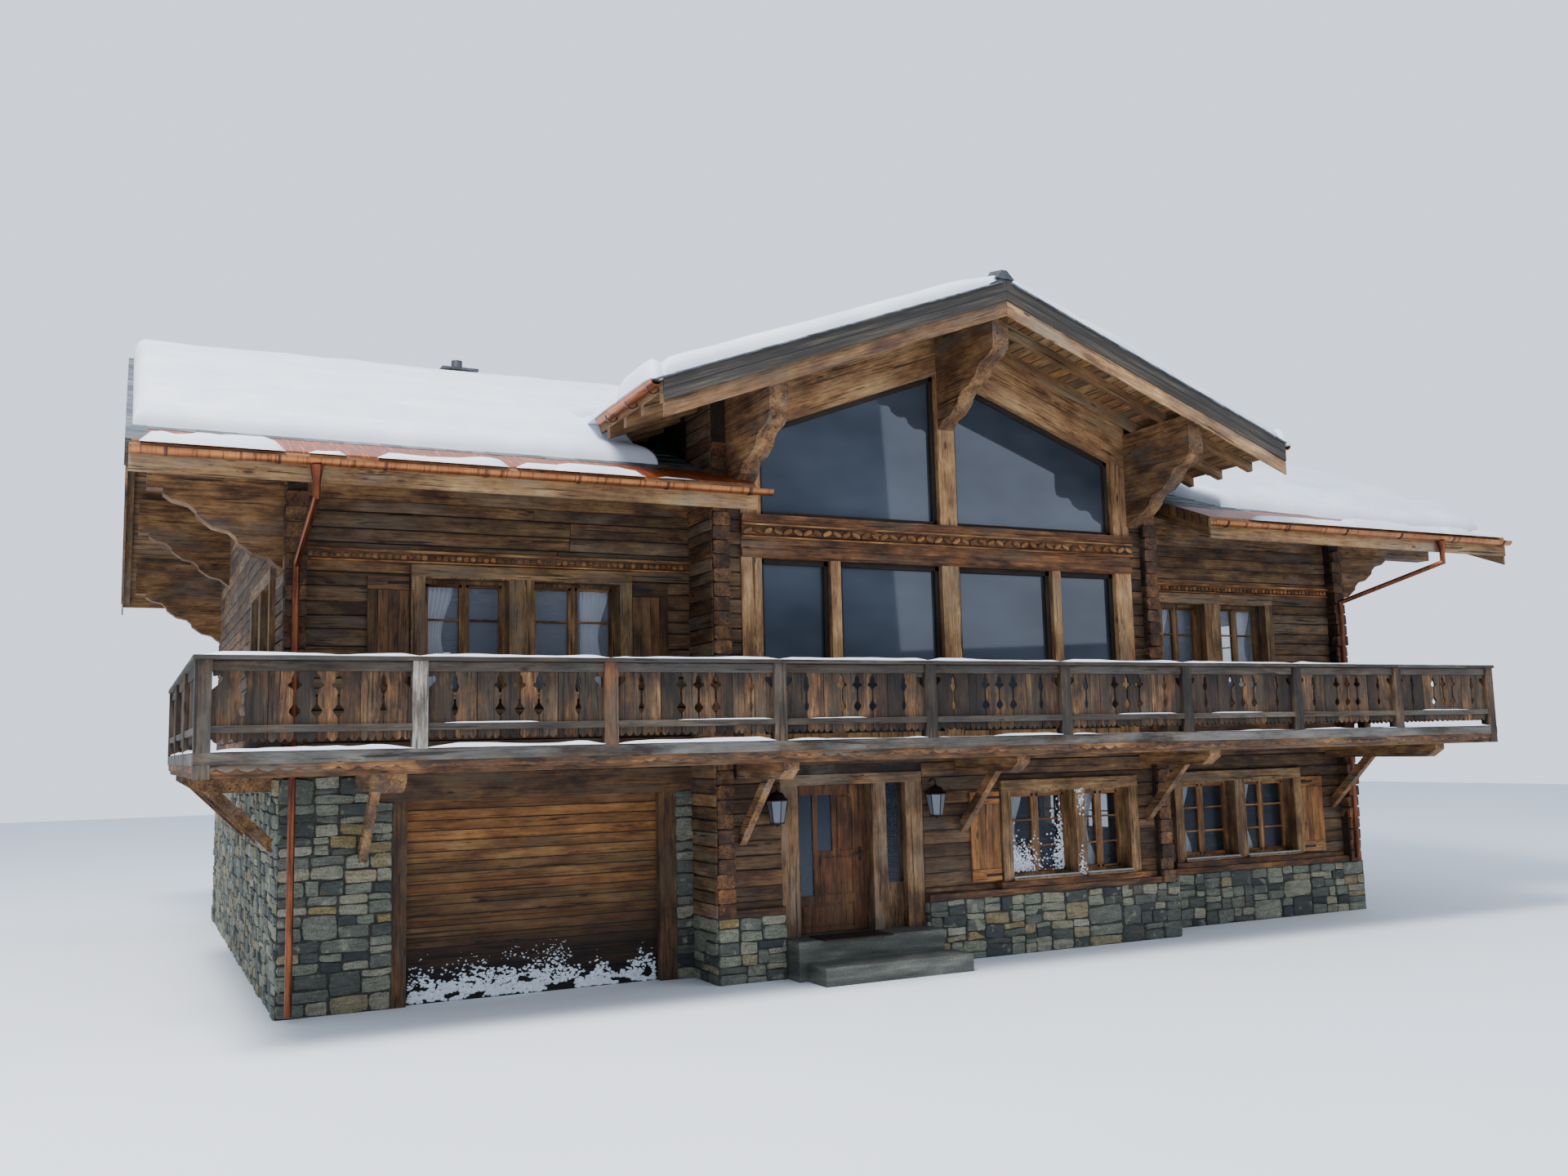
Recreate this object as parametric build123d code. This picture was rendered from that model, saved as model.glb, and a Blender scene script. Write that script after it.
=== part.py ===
from build123d import *
import math
import os

# Alpine chalet. Millimetres, X along the front, Y towards the back, Z up.
# The origin is on the ground, under the middle of the projecting centre and under the main ridge.

# House body
HOUSE_DEPTH = 11200
CENTRE_WIDTH = 7500
CENTRE_OUT = 700
WING_LEFT = 5200
WING_RIGHT = 4750
LOG_THICK = 240
LOG_COURSE = 200
LOG_GROOVE = 16
LOG_END_OUT = 150
STONE_THICK = 450
STONE_TOP = 2750
PLINTH_TOP = 820
PLINTH_OUT = 100
GARAGE_FLOOR_TOP = 50
HOUSE_FLOOR_TOP = 500
UPPER_FLOOR_TOP = 3050
UPPER_FLOOR_THICK = 250

# Main roof
PITCH = 0.404
RIDGE_TOP = 9160
SLATE_DECK = 160
RAFTER_HIGH = 140
RAFTER_WIDE = 110
RAFTER_PITCH = 1100
EAVE_OUT = 1350
VERGE_OUT_LEFT = 1700
VERGE_OUT_RIGHT = 2700
LEFT_EAVE_PAST_CORNER = 390
RIGHT_EAVE_SHORT = 600

# Cross gable over the centre
GABLE_PITCH = 0.37
GABLE_RIDGE_TOP = 9200
GABLE_EAVE_OUT = 1250
GABLE_OUT = 1630
GABLE_RAFTER_PITCH = 560

# Purlins and their carved corbels
PURLIN_HIGH = 480
PURLIN_WIDE = 260
PURLIN_MID = 3400
PURLIN_BACK_FROM_VERGE = 200
CORBEL_HIGH = 900
CORBEL_REACH = 1330
CORBEL_STEPS = 3
CORBEL_OFF_WALL = 20
GABLE_PURLIN_FROM_CORNER = 350
GABLE_PURLIN_BACK_FROM_VERGE = 150

# Edge boards, gutters and downpipes
BARGE_THICK = 40
BARGE_STEP = 14
BARGE_GREY_HIGH = 270
BARGE_BROWN_HIGH = 210
MITRE_GAP = 2
EAVE_BOARD_HIGH = 330
GUTTER_RADIUS = 75
GUTTER_WALL = 8
GUTTER_DROP = 20
GUTTER_BELOW_SLATE = 80
GUTTER_SPOUT = 180
PIPE_RADIUS = 42
PIPE_SIDES = 12
PIPE_GAP = 10
HOPPER_HIGH = 180
LEFT_HOPPER_IN = 180
RIGHT_HOPPER_OUT = 960
PIPE_ELBOW_UP = 2200
PIPE_FOOT_UP = 60

# Chimney
CHIMNEY_IN = 3500
CHIMNEY_Y = 1000
CHIMNEY_WIDE = 480
CHIMNEY_OVER_RIDGE = 590
FLUE_RADIUS = 95
FLUE_HIGH = 190

# Roof snow
SNOW_MAIN = 380
SNOW_GABLE = 150
SNOW_SETBACK = 180
SNOW_EAVE_BACK = 900
SNOW_GAP = 0.2
SNOW_JOINT = 3

# Windows: a clear hole in the wall, a frame set in it and boards round it outside
FRAME_WIDE = 60
FRAME_DEEP = 90
FRAME_SETBACK = 140
MULLION_WIDE = 50
GLASS_THICK = 24
CASING_WIDE = 150
CASING_OUT = 80
CASING_RIM = 18
SILL_OUT = 60
SILL_HIGH = 40

# Window holes along X, each as its two edges' distances from the centre's nearest corner
GROUND_CENTRE_IN = [(2920, 1750), (1600, 740)]
GROUND_WING_OUT = [(920, 2070), (2250, 3390)]
UPPER_LEFT_OUT = [(3570, 2480), (2190, 1000)]
UPPER_RIGHT_OUT = [(700, 1650), (1950, 3000)]
GROUND_SILL_UP = 530
GROUND_WINDOW_HIGH = 1250
UPPER_SILL_UP = 650
UPPER_WINDOW_HIGH = 1480

# Window holes in the gable walls, from the front, and in the back wall, from its two ends
SIDE_WINDOWS_BACK = [(900, 2000), (2230, 3330)]
SIDE_GROUND_WINDOWS_BACK = [(6100, 7200), (7430, 8530)]
BACK_WINDOWS_LEFT_IN = [(2050, 3150), (3380, 4480)]
BACK_WINDOWS_RIGHT_IN = [(4200, 3100), (2870, 1770)]
BACK_WINDOW_MID_HALF = 550

# Shutters, folded back beside their windows
SHUTTER_WIDE = 500
SHUTTER_THICK = 40
LEDGE_HIGH = 90
LEDGE_OUT = 18

# Timber front of the centre
PIER_WIDE = 450
OUTER_POST_WIDE = 300
OUTER_PANE_WIDE = 1050
MID_POST_WIDE = 150
CENTRE_POST_HALF = 145
CENTRE_POST_OUT = 35
GLASS_SILL_HIGH = 100
BAND_UP = 2450
BAND_HIGH = 580
BAND_OUT = 70
GABLE_HEAD_HIGH = 840

# Entrance
ENTRANCE_IN = 960
ENTRANCE_WIDE = 2190
ENTRANCE_HIGH = 1960
ENTRANCE_HEAD_HIGH = 140
DOOR_IN = 260
DOOR_WIDE = 1130
DOOR_POST_WIDE = 220
SIDELIGHT_WIDE = 310
SIDELIGHT_SILL = 1100
DOOR_THICK = 60
DOOR_GAP = 10
DOOR_LEFT_STILE = 95
DOOR_RIGHT_STILE = 210
DOOR_TALL_PANE = 200
DOOR_POST_BETWEEN = 75
DOOR_SHORT_PANE = 215
DOOR_TOP_RAIL = 130
DOOR_RAIL = 60
DOOR_BOARD_LOW = 50
DOOR_BOARD_HIGH = 320
DOOR_TALL_PANE_UP = 480
DOOR_SHORT_PANE_UP = 1060
DOOR_PANEL_RIM = 28
DOOR_PANEL_SUNK = 12
HINGE_SHARES = (0.12, 0.5, 0.88)
HINGE_PLATE_THICK = 3
HINGE_RADIUS = 10
HINGE_HIGH = 50
HINGE_GAP = 0.3
HANDLE_HIGH = 1000
HANDLE_PLATE_HALF = 23
STEP_OUT = 450
STEP_LOW_OUT = 500
STEP_LOW_HIGH = 230
STEP_LOW_SIDE = 120

# Garage door
GARAGE_FROM_CENTRE = 480
GARAGE_WIDE = 3250
GARAGE_POST_LEFT = 170
GARAGE_POST_RIGHT = 230
GARAGE_HEAD = 2430
GARAGE_HEAD_REACH = 250
GARAGE_DOOR_THICK = 60
GARAGE_DOOR_SETBACK = 120
GARAGE_BOARDS = 10
GARAGE_BOARD_GROOVE = 8

# Lanterns
LANTERN_LEFT_OUT = 130
LANTERN_RIGHT_OUT = 120
LANTERN_UP = 1450
LANTERN_HIGH = 330
LANTERN_RADIUS = 120
LANTERN_ARM = 190
LANTERN_SIDES = 6
LANTERN_FOOT_SHARE = 0.6
LANTERN_BRIM_SHARE = 1.15
LANTERN_PEAK_SHARE = 0.2
LANTERN_HOOD_SHARE = 0.35

# Balcony
BALCONY_OUT_LEFT = 1040
BALCONY_OUT_RIGHT = 840
BALCONY_OUT_FRONT = 1600
BALCONY_SIDE_DEEP = 5200
BALCONY_BAYS = 9
BALCONY_SIDE_BAYS = 3
DECK_THICK = 120
DECK_EDGE_IN = 40
RAIL_POST = 160
RAIL_HIGH = 980
RAIL_CAP_HIGH = 50
RAIL_CAP_WIDE = 200
RAIL_BEAM_HIGH = 110
RAIL_BEAM_WIDE = 90
MID_RAIL_UP = 195
MID_RAIL_HIGH = 75
BOARD_UP = 95
BOARD_THICK = 30
EDGE_BEAM_HIGH = 140
EDGE_BEAM_THICK = 60
EDGE_BOARD_DROP = 95
EDGE_BOARD_THICK = 22
SCALLOP_WIDE = 380
SCALLOP_HIGH = 45
EDGE_SCALLOP_WIDE = 800
EDGE_SCALLOP_HIGH = 35
BRACKET_FROM_LEFT = 950
BRACKET_FROM_RIGHT = 420
BRACKETS_IN_CENTRE = [400, 3810, 7150]
BRACKETS_BACK = [600, 2600, 4600]
BRACKET_BEAM_HIGH = 340
BRACKET_WIDE = 200
BRACE_HIGH = 180
BRACE_DROP = 700
BRACE_REACH = 750

# Fretwork: where each cut-out stands in its bay, as a share of the bay, and its size
FRET_VASES = (0.40, 0.51, 0.62)
FRET_SLITS = (0.15, 0.85)
FRET_HIGH = 400
FRET_WIDE = 110
FRET_SLIT_WIDE = 55
HEART_HIGH = 150
HEART_WIDE = 120

# Outlines of the carved pieces, as shares of their own width and height
VASE_SIDE = [(0.10, 0.00), (0.80, 0.42), (0.16, 0.64), (1.00, 0.86)]
SLIT_SIDE = [(0.30, 0.00), (1.00, 0.50)]
HALF_HEART = [(0, 0), (1.00, 0.65), (0.60, 1.00), (0, 0.80)]
LOBE = [(0.25, 0.0), (0.75, 0.0), (1.0, 1.0)]
CORBEL_STEP = [(0, 0.18), (0.22, 0.42), (0.62, 0.56), (0.80, 0.80), (0.84, 1.00)]

# Worked out from the driving dimensions
CENTRE_HALF = CENTRE_WIDTH / 2
HOUSE_LEFT = -CENTRE_HALF - WING_LEFT
HOUSE_RIGHT = CENTRE_HALF + WING_RIGHT
FRONT = -HOUSE_DEPTH / 2
BACK = HOUSE_DEPTH / 2
CENTRE_FRONT = FRONT - CENTRE_OUT
GABLE_HALF = CENTRE_HALF + GABLE_EAVE_OUT
GABLE_PURLIN_X = CENTRE_HALF - GABLE_PURLIN_FROM_CORNER
VERGE_LEFT = HOUSE_LEFT - VERGE_OUT_LEFT
VERGE_RIGHT = HOUSE_RIGHT + VERGE_OUT_RIGHT
EAVE = HOUSE_DEPTH / 2 + EAVE_OUT
GABLE_VERGE = CENTRE_FRONT - GABLE_OUT
ROOF_DEEP = SLATE_DECK + RAFTER_HIGH
UPPER_FLOOR_BOTTOM = UPPER_FLOOR_TOP - UPPER_FLOOR_THICK
CHIMNEY_X = HOUSE_LEFT + CHIMNEY_IN
CHIMNEY_TOP = RIDGE_TOP + CHIMNEY_OVER_RIDGE
GROUND_CENTRE = [(CENTRE_HALF - a, CENTRE_HALF - b) for a, b in GROUND_CENTRE_IN]
GROUND_WING = [(CENTRE_HALF + a, CENTRE_HALF + b) for a, b in GROUND_WING_OUT]
UPPER_LEFT = [(-CENTRE_HALF - a, -CENTRE_HALF - b) for a, b in UPPER_LEFT_OUT]
UPPER_RIGHT = [(CENTRE_HALF + a, CENTRE_HALF + b) for a, b in UPPER_RIGHT_OUT]
GROUND_SILL = HOUSE_FLOOR_TOP + GROUND_SILL_UP
GROUND_HEAD = GROUND_SILL + GROUND_WINDOW_HIGH
UPPER_SILL = UPPER_FLOOR_TOP + UPPER_SILL_UP
UPPER_HEAD = UPPER_SILL + UPPER_WINDOW_HIGH
SIDE_WINDOWS = [(FRONT + a, FRONT + b) for a, b in SIDE_WINDOWS_BACK]
SIDE_GROUND_WINDOWS = [(FRONT + a, FRONT + b) for a, b in SIDE_GROUND_WINDOWS_BACK]
BACK_WINDOWS = [(HOUSE_LEFT + a, HOUSE_LEFT + b) for a, b in BACK_WINDOWS_LEFT_IN]
BACK_WINDOWS += [(-BACK_WINDOW_MID_HALF, BACK_WINDOW_MID_HALF)]
BACK_WINDOWS += [(HOUSE_RIGHT - a, HOUSE_RIGHT - b) for a, b in BACK_WINDOWS_RIGHT_IN]
OUTER_POST = (CENTRE_HALF - PIER_WIDE - OUTER_POST_WIDE, CENTRE_HALF - PIER_WIDE)
MID_POST = (OUTER_POST[0] - OUTER_PANE_WIDE - MID_POST_WIDE, OUTER_POST[0] - OUTER_PANE_WIDE)
LOWER_GLASS_SILL = UPPER_FLOOR_TOP + GLASS_SILL_HIGH
BAND_BOTTOM = UPPER_FLOOR_TOP + BAND_UP
BAND_TOP = BAND_BOTTOM + BAND_HIGH
GABLE_GLASS_TOP = GABLE_RIDGE_TOP - GABLE_HEAD_HIGH
ENTRANCE_LEFT = -CENTRE_HALF + ENTRANCE_IN
ENTRANCE_RIGHT = ENTRANCE_LEFT + ENTRANCE_WIDE
ENTRANCE_HEAD = HOUSE_FLOOR_TOP + ENTRANCE_HIGH
DOOR_LEFT = ENTRANCE_LEFT + DOOR_IN
DOOR_RIGHT = DOOR_LEFT + DOOR_WIDE
GARAGE_RIGHT = -CENTRE_HALF - GARAGE_FROM_CENTRE
GARAGE_LEFT = GARAGE_RIGHT - GARAGE_WIDE
LANTERN_XS = (ENTRANCE_LEFT - LANTERN_LEFT_OUT, ENTRANCE_RIGHT + LANTERN_RIGHT_OUT)
LANTERN_BASE = HOUSE_FLOOR_TOP + LANTERN_UP
BALCONY_LEFT = HOUSE_LEFT - BALCONY_OUT_LEFT
BALCONY_RIGHT = HOUSE_RIGHT + BALCONY_OUT_RIGHT
BALCONY_FRONT = CENTRE_FRONT - BALCONY_OUT_FRONT
BALCONY_BACK = FRONT + BALCONY_SIDE_DEEP
RAIL_CAP_TOP = UPPER_FLOOR_TOP + RAIL_HIGH
MID_RAIL_BOTTOM = UPPER_FLOOR_TOP + MID_RAIL_UP
BOARD_BOTTOM = UPPER_FLOOR_TOP + BOARD_UP
BRACKET_XS = [HOUSE_LEFT + BRACKET_FROM_LEFT, HOUSE_RIGHT - BRACKET_FROM_RIGHT]
BRACKET_XS += [-CENTRE_HALF + a for a in BRACKETS_IN_CENTRE]
BRACKET_YS = [FRONT + a for a in BRACKETS_BACK]
LEFT_HOPPER_X = HOUSE_LEFT + LEFT_HOPPER_IN
RIGHT_HOPPER_X = HOUSE_RIGHT + RIGHT_HOPPER_OUT
PIPE_ELBOW = UPPER_FLOOR_TOP + PIPE_ELBOW_UP
FAR = 30000


def box(x0, x1, y0, y1, z0, z1):
    """A box between six faces."""
    size = (x1 - x0, y1 - y0, z1 - z0)
    return Pos((x0 + x1) / 2, (y0 + y1) / 2, (z0 + z1) / 2) * Box(*size)


def outline(plane, points):
    """A flat face from its corner points."""
    return plane * make_face(Polyline(*points, close=True))


def along_x(points, x0, x1):
    """A prism along X from an outline of (y, z) points."""
    return extrude(outline(Plane.YZ.offset(x0), points), amount=x1 - x0)


def along_y(points, y0, y1):
    """A prism along Y from an outline of (x, z) points."""
    return extrude(outline(Plane.XZ.offset(-y1), points), amount=y1 - y0)


def along_z(points, z0, z1):
    """A prism along Z from an outline of (x, y) points."""
    return extrude(outline(Plane.XY.offset(z0), points), amount=z1 - z0)


def main_top(y, drop=0.0):
    """Height of the main roof's slate above y, or so much below it."""
    return RIDGE_TOP - drop - PITCH * abs(y)


def gable_top(x, drop=0.0):
    """Height of the cross gable's slate above x, or so much below it."""
    return GABLE_RIDGE_TOP - drop - GABLE_PITCH * abs(x)


def below_main(drop, x0=-FAR, x1=FAR):
    """Everything under the main roof, so much below its slate."""
    points = [(-FAR, -FAR), (FAR, -FAR), (FAR, main_top(FAR, drop)),
              (0, main_top(0, drop)), (-FAR, main_top(FAR, drop))]
    return along_x(points, x0, x1)


def below_gable(drop, y0=-FAR, y1=FAR):
    """Everything under the cross gable's roof, so much below its slate."""
    points = [(-FAR, -FAR), (FAR, -FAR), (FAR, gable_top(FAR, drop)),
              (0, gable_top(0, drop)), (-FAR, gable_top(FAR, drop))]
    return along_y(points, y0, y1)


def frustum(x, y, low, high, low_radius, high_radius, sides):
    """A flat-sided taper between two polygons about an upright axis."""
    turns = [2 * math.pi * k / sides for k in range(sides)]
    feet = [(x + low_radius * math.cos(t), y + low_radius * math.sin(t), low) for t in turns]
    heads = [(x + high_radius * math.cos(t), y + high_radius * math.sin(t), high) for t in turns]
    skins = [make_face(Polyline(feet[k - 1], feet[k], heads[k], heads[k - 1], close=True)) for k in range(sides)]
    skins += [make_face(Polyline(*feet, close=True)), make_face(Polyline(*heads, close=True))]
    return Solid(Shell([skin.face() for skin in skins]))


def log_outline(face, out, z0, z1, thick=LOG_THICK):
    """A log wall's section: each course's outer face leans out to a shadow line under the next, flat inside.
    out is the way the outer face looks, -1 or 1."""
    courses = max(1, round((z1 - z0) / LOG_COURSE))
    step = (z1 - z0) / courses
    points = [(face - out * thick, z0)]
    for course in range(courses):
        z = z0 + course * step
        points += [(face - out * LOG_GROOVE, z), (face, z + step)]
    return points + [(face - out * thick, z1)]


def log_wall_x(face, out, x0, x1, z0, z1):
    """A log wall that runs along X."""
    return along_x(log_outline(face, out, z0, z1), x0, x1)


def log_wall_y(face, out, y0, y1, z0, z1):
    """A log wall that runs along Y."""
    return along_y(log_outline(face, out, z0, z1), y0, y1)


def holes_x(row, sill, head, y0, y1):
    """Clear holes for a row of windows in a wall that runs along X."""
    return [box(x0, x1, y0, y1, sill, head) for x0, x1 in row]


def holes_y(row, sill, head, x0, x1):
    """Clear holes for a row of windows in a wall that runs along Y."""
    return [box(x0, x1, y0, y1, sill, head) for y0, y1 in row]


def cut(solid, tools):
    """A solid less each of the tools."""
    for tool in tools:
        solid -= tool
    return solid


def corbel_outline(reach, high, steps):
    """A carved corbel's outline: stepped log ends, each with a cove and a rounded nose.
    It starts at the wall under the purlin, and (0, 0) is that corner."""
    points = [(0, 0), (reach, 0)]
    course = high / steps
    run = reach / steps
    for step in range(steps):
        out = reach - step * run
        z = -step * course
        points += [(out - a * run, z - b * course) for a, b in CORBEL_STEP]
    points[-1] = (0, -high)
    return points


def purlin_section(y, wide=PURLIN_WIDE):
    """A main purlin's section at y, with its top cut to the rafters."""
    top = ROOF_DEEP
    low = main_top(abs(y) + wide / 2, top) - PURLIN_HIGH
    y0 = y - wide / 2
    y1 = y + wide / 2
    points = [(y0, low), (y1, low), (y1, main_top(y1, top))]
    if y0 < 0 < y1:
        points.append((0, main_top(0, top)))
    return points + [(y0, main_top(y0, top))], low


def main_corbels(y, low):
    """The carved corbels under one purlin, outside both gable walls."""
    profile = corbel_outline(CORBEL_REACH, CORBEL_HIGH, CORBEL_STEPS)
    y0 = y - PURLIN_WIDE / 2
    y1 = y + PURLIN_WIDE / 2
    left = along_y([(HOUSE_LEFT - x, low + z) for x, z in profile], y0, y1)
    right = along_y([(HOUSE_RIGHT + x, low + z) for x, z in profile], y0, y1)
    return left, right


def make_purlins():
    """The main roof's purlins. The front plates stop at the open centre."""
    x0 = VERGE_LEFT + PURLIN_BACK_FROM_VERGE
    x1 = VERGE_RIGHT - PURLIN_BACK_FROM_VERGE
    plate = FRONT + PURLIN_WIDE / 2
    runs = {plate: [(x0, -CENTRE_HALF), (CENTRE_HALF, x1)]}
    for y in (-PURLIN_MID, 0, PURLIN_MID, -plate):
        runs[y] = [(x0, x1)]
    solids = []
    for y, spans in runs.items():
        section, low = purlin_section(y)
        left, right = main_corbels(y, low)
        beams = [along_x(section, a, b) for a, b in spans]
        beams[0] += left
        beams[-1] += right
        solids += beams
    return Compound(children=solids)


def make_gable_purlins():
    """The cross gable's three purlins, with carved heads in front of the wall."""
    front = GABLE_VERGE + GABLE_PURLIN_BACK_FROM_VERGE
    profile = corbel_outline(CENTRE_FRONT - front - CORBEL_OFF_WALL, CORBEL_HIGH, CORBEL_STEPS)
    half = PURLIN_WIDE / 2
    solids = []
    for x in (-GABLE_PURLIN_X, 0, GABLE_PURLIN_X):
        low = gable_top(abs(x) + half, ROOF_DEEP) - PURLIN_HIGH
        back = -PURLIN_WIDE / 2 if x == 0 else -PURLIN_MID - PURLIN_WIDE / 2
        section = [(x - half, low), (x + half, low), (x + half, gable_top(x + half, ROOF_DEEP))]
        if x == 0:
            section.append((0, gable_top(0, ROOF_DEEP)))
        section.append((x - half, gable_top(x - half, ROOF_DEEP)))
        beam = along_y(section, front, back)
        head = along_x([(CENTRE_FRONT - y, low + z) for y, z in profile], x - half, x + half)
        solids.append(beam + head)
    return Compound(children=solids)


def rafter_places(start, end, pitch):
    """Evenly spaced rafter centres between two edges."""
    count = max(2, int((end - start) // pitch) + 1)
    step = (end - start) / (count - 1)
    return [start + step * index for index in range(count)]


def main_slope(side, x0, x1):
    """One slope of the main roof: the slated deck with its rafters under it."""
    half = RAFTER_WIDE / 2
    eave = side * EAVE
    deck = [(0, main_top(0)), (eave, main_top(eave)),
            (eave, main_top(eave, SLATE_DECK)), (0, main_top(0, SLATE_DECK))]
    roof = along_x(deck, x0, x1)
    rafter = [(0, main_top(0, SLATE_DECK)), (eave, main_top(eave, SLATE_DECK)),
              (eave, main_top(eave, ROOF_DEEP)), (0, main_top(0, ROOF_DEEP))]
    for x in rafter_places(x0 + half, x1 - half, RAFTER_PITCH):
        if min(abs(x - HOUSE_LEFT), abs(x - HOUSE_RIGHT)) < LOG_THICK + half:
            continue
        roof += along_x(rafter, x - half, x + half)
    return roof


def centre_well():
    """The part of the front slope that the cross gable opens into."""
    ratio = GABLE_PITCH / PITCH
    shift = (RIDGE_TOP - GABLE_RIDGE_TOP + SLATE_DECK) / PITCH
    valley = -(CENTRE_HALF * ratio + shift)
    points = [(-CENTRE_HALF, -EAVE * 2), (CENTRE_HALF, -EAVE * 2), (CENTRE_HALF, valley),
              (0, -shift), (-CENTRE_HALF, valley)]
    return along_z(points, 0, 2 * RIDGE_TOP)


def make_main_roof():
    """The two front slopes beside the cross gable, and the back slope."""
    past = -CENTRE_HALF + LEFT_EAVE_PAST_CORNER
    short = CENTRE_HALF + RIGHT_EAVE_SHORT
    well = centre_well()
    high = 2 * RIDGE_TOP
    left = main_slope(-1, VERGE_LEFT, 0) - (well - box(-FAR, past, -FAR, CENTRE_FRONT, 0, high))
    right = main_slope(-1, 0, VERGE_RIGHT) - well - box(0, short, -FAR, FRONT, 0, high)
    back = main_slope(1, VERGE_LEFT, VERGE_RIGHT)
    return left, right, back


def gable_slope(side):
    """One slope of the cross gable, down to where it meets the main roof."""
    half = RAFTER_WIDE / 2
    eave = side * GABLE_HALF
    deck = [(0, gable_top(0)), (eave, gable_top(eave)),
            (eave, gable_top(eave, SLATE_DECK)), (0, gable_top(0, SLATE_DECK))]
    rafter = [(0, gable_top(0, SLATE_DECK)), (eave, gable_top(eave, SLATE_DECK)),
              (eave, gable_top(eave, ROOF_DEEP)), (0, gable_top(0, ROOF_DEEP))]
    roof = along_y(deck, GABLE_VERGE, 0)
    for y in rafter_places(GABLE_VERGE + half, -PURLIN_MID, GABLE_RAFTER_PITCH):
        if CENTRE_FRONT - half < y < CENTRE_FRONT + LOG_THICK + half:
            continue
        roof += along_y(rafter, y - half, y + half)
    return roof - below_main(0)


def verge_run(side, reach, height, prism, start, out):
    """The boards of one sloping verge: a grey board over a brown one, set back.
    height gives the slate's height along the slope, and prism pushes an outline out from start."""
    near = side * MITRE_GAP
    far = side * reach
    rows = [(0, BARGE_GREY_HIGH, BARGE_THICK),
            (BARGE_GREY_HIGH, BARGE_BROWN_HIGH, BARGE_THICK - BARGE_STEP)]
    boards = []
    for drop, high, thick in rows:
        points = [(near, height(near, drop)), (far, height(far, drop)),
                  (far, height(far, drop + high)), (near, height(near, drop + high))]
        boards.append(prism(points, *sorted((start, start + out * thick))))
    return joined(boards)


def make_verge_boards():
    """Boards along every verge, as separate runs that meet at the ridges."""
    solids = []
    for side in (-1, 1):
        solids.append(verge_run(side, GABLE_HALF, gable_top, along_y, GABLE_VERGE, -1))
        solids.append(verge_run(side, EAVE, main_top, along_x, VERGE_LEFT, -1))
        solids.append(verge_run(side, EAVE, main_top, along_x, VERGE_RIGHT, 1))
    return Compound(children=solids)


def eave_runs():
    """The three eaves of the main roof: their side and their ends."""
    past = -CENTRE_HALF + LEFT_EAVE_PAST_CORNER
    short = CENTRE_HALF + RIGHT_EAVE_SHORT
    return [(-1, VERGE_LEFT, past), (-1, short, VERGE_RIGHT), (1, VERGE_LEFT, VERGE_RIGHT)]


def make_eave_boards():
    """The boards that close the rafters' ends at the main eaves."""
    top = main_top(EAVE)
    solids = []
    for side, x0, x1 in eave_runs():
        y = sorted((side * EAVE, side * (EAVE + BARGE_THICK)))
        solids.append(box(x0, x1, *y, top - EAVE_BOARD_HIGH, top - GUTTER_DROP))
    return Compound(children=solids)


def gutter_ring():
    """A gutter's section: half a ring, open upwards, in its own plane."""
    ring = Circle(GUTTER_RADIUS) - Circle(GUTTER_RADIUS - GUTTER_WALL)
    return ring - Pos(0, GUTTER_RADIUS) * Rectangle(3 * GUTTER_RADIUS, 2 * GUTTER_RADIUS)


def make_gutters():
    """Half-round gutters along the main eaves and both eaves of the cross gable."""
    solids = []
    top = main_top(EAVE) - GUTTER_BELOW_SLATE
    for (side, x0, x1), spout in zip(eave_runs(), (GUTTER_SPOUT, 0, 0)):
        y = side * (EAVE + BARGE_THICK + GUTTER_RADIUS)
        plane = Plane((x0, y, top), x_dir=(0, 1, 0), z_dir=(1, 0, 0))
        solids.append(extrude(plane * gutter_ring(), amount=x1 + spout - x0))
    gable_eave = gable_top(GABLE_HALF) - GUTTER_DROP
    back = -(RIDGE_TOP + SNOW_MAIN - gable_eave + 2 * GUTTER_RADIUS) / PITCH
    for side in (-1, 1):
        x = side * (GABLE_HALF + GUTTER_RADIUS)
        plane = Plane((x, back, gable_eave), x_dir=(1, 0, 0), z_dir=(0, -1, 0))
        solids.append(extrude(plane * gutter_ring(), amount=back - GABLE_VERGE))
    return Compound(children=solids)


def pipe_run(points):
    """A round pipe along straight runs, mitred at each bend."""
    start = Vector(*points[0])
    section = Plane(start, z_dir=Vector(*points[1]) - start) * RegularPolygon(PIPE_RADIUS, PIPE_SIDES)
    return sweep(section, path=Polyline(*points), transition=Transition.RIGHT)


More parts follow.
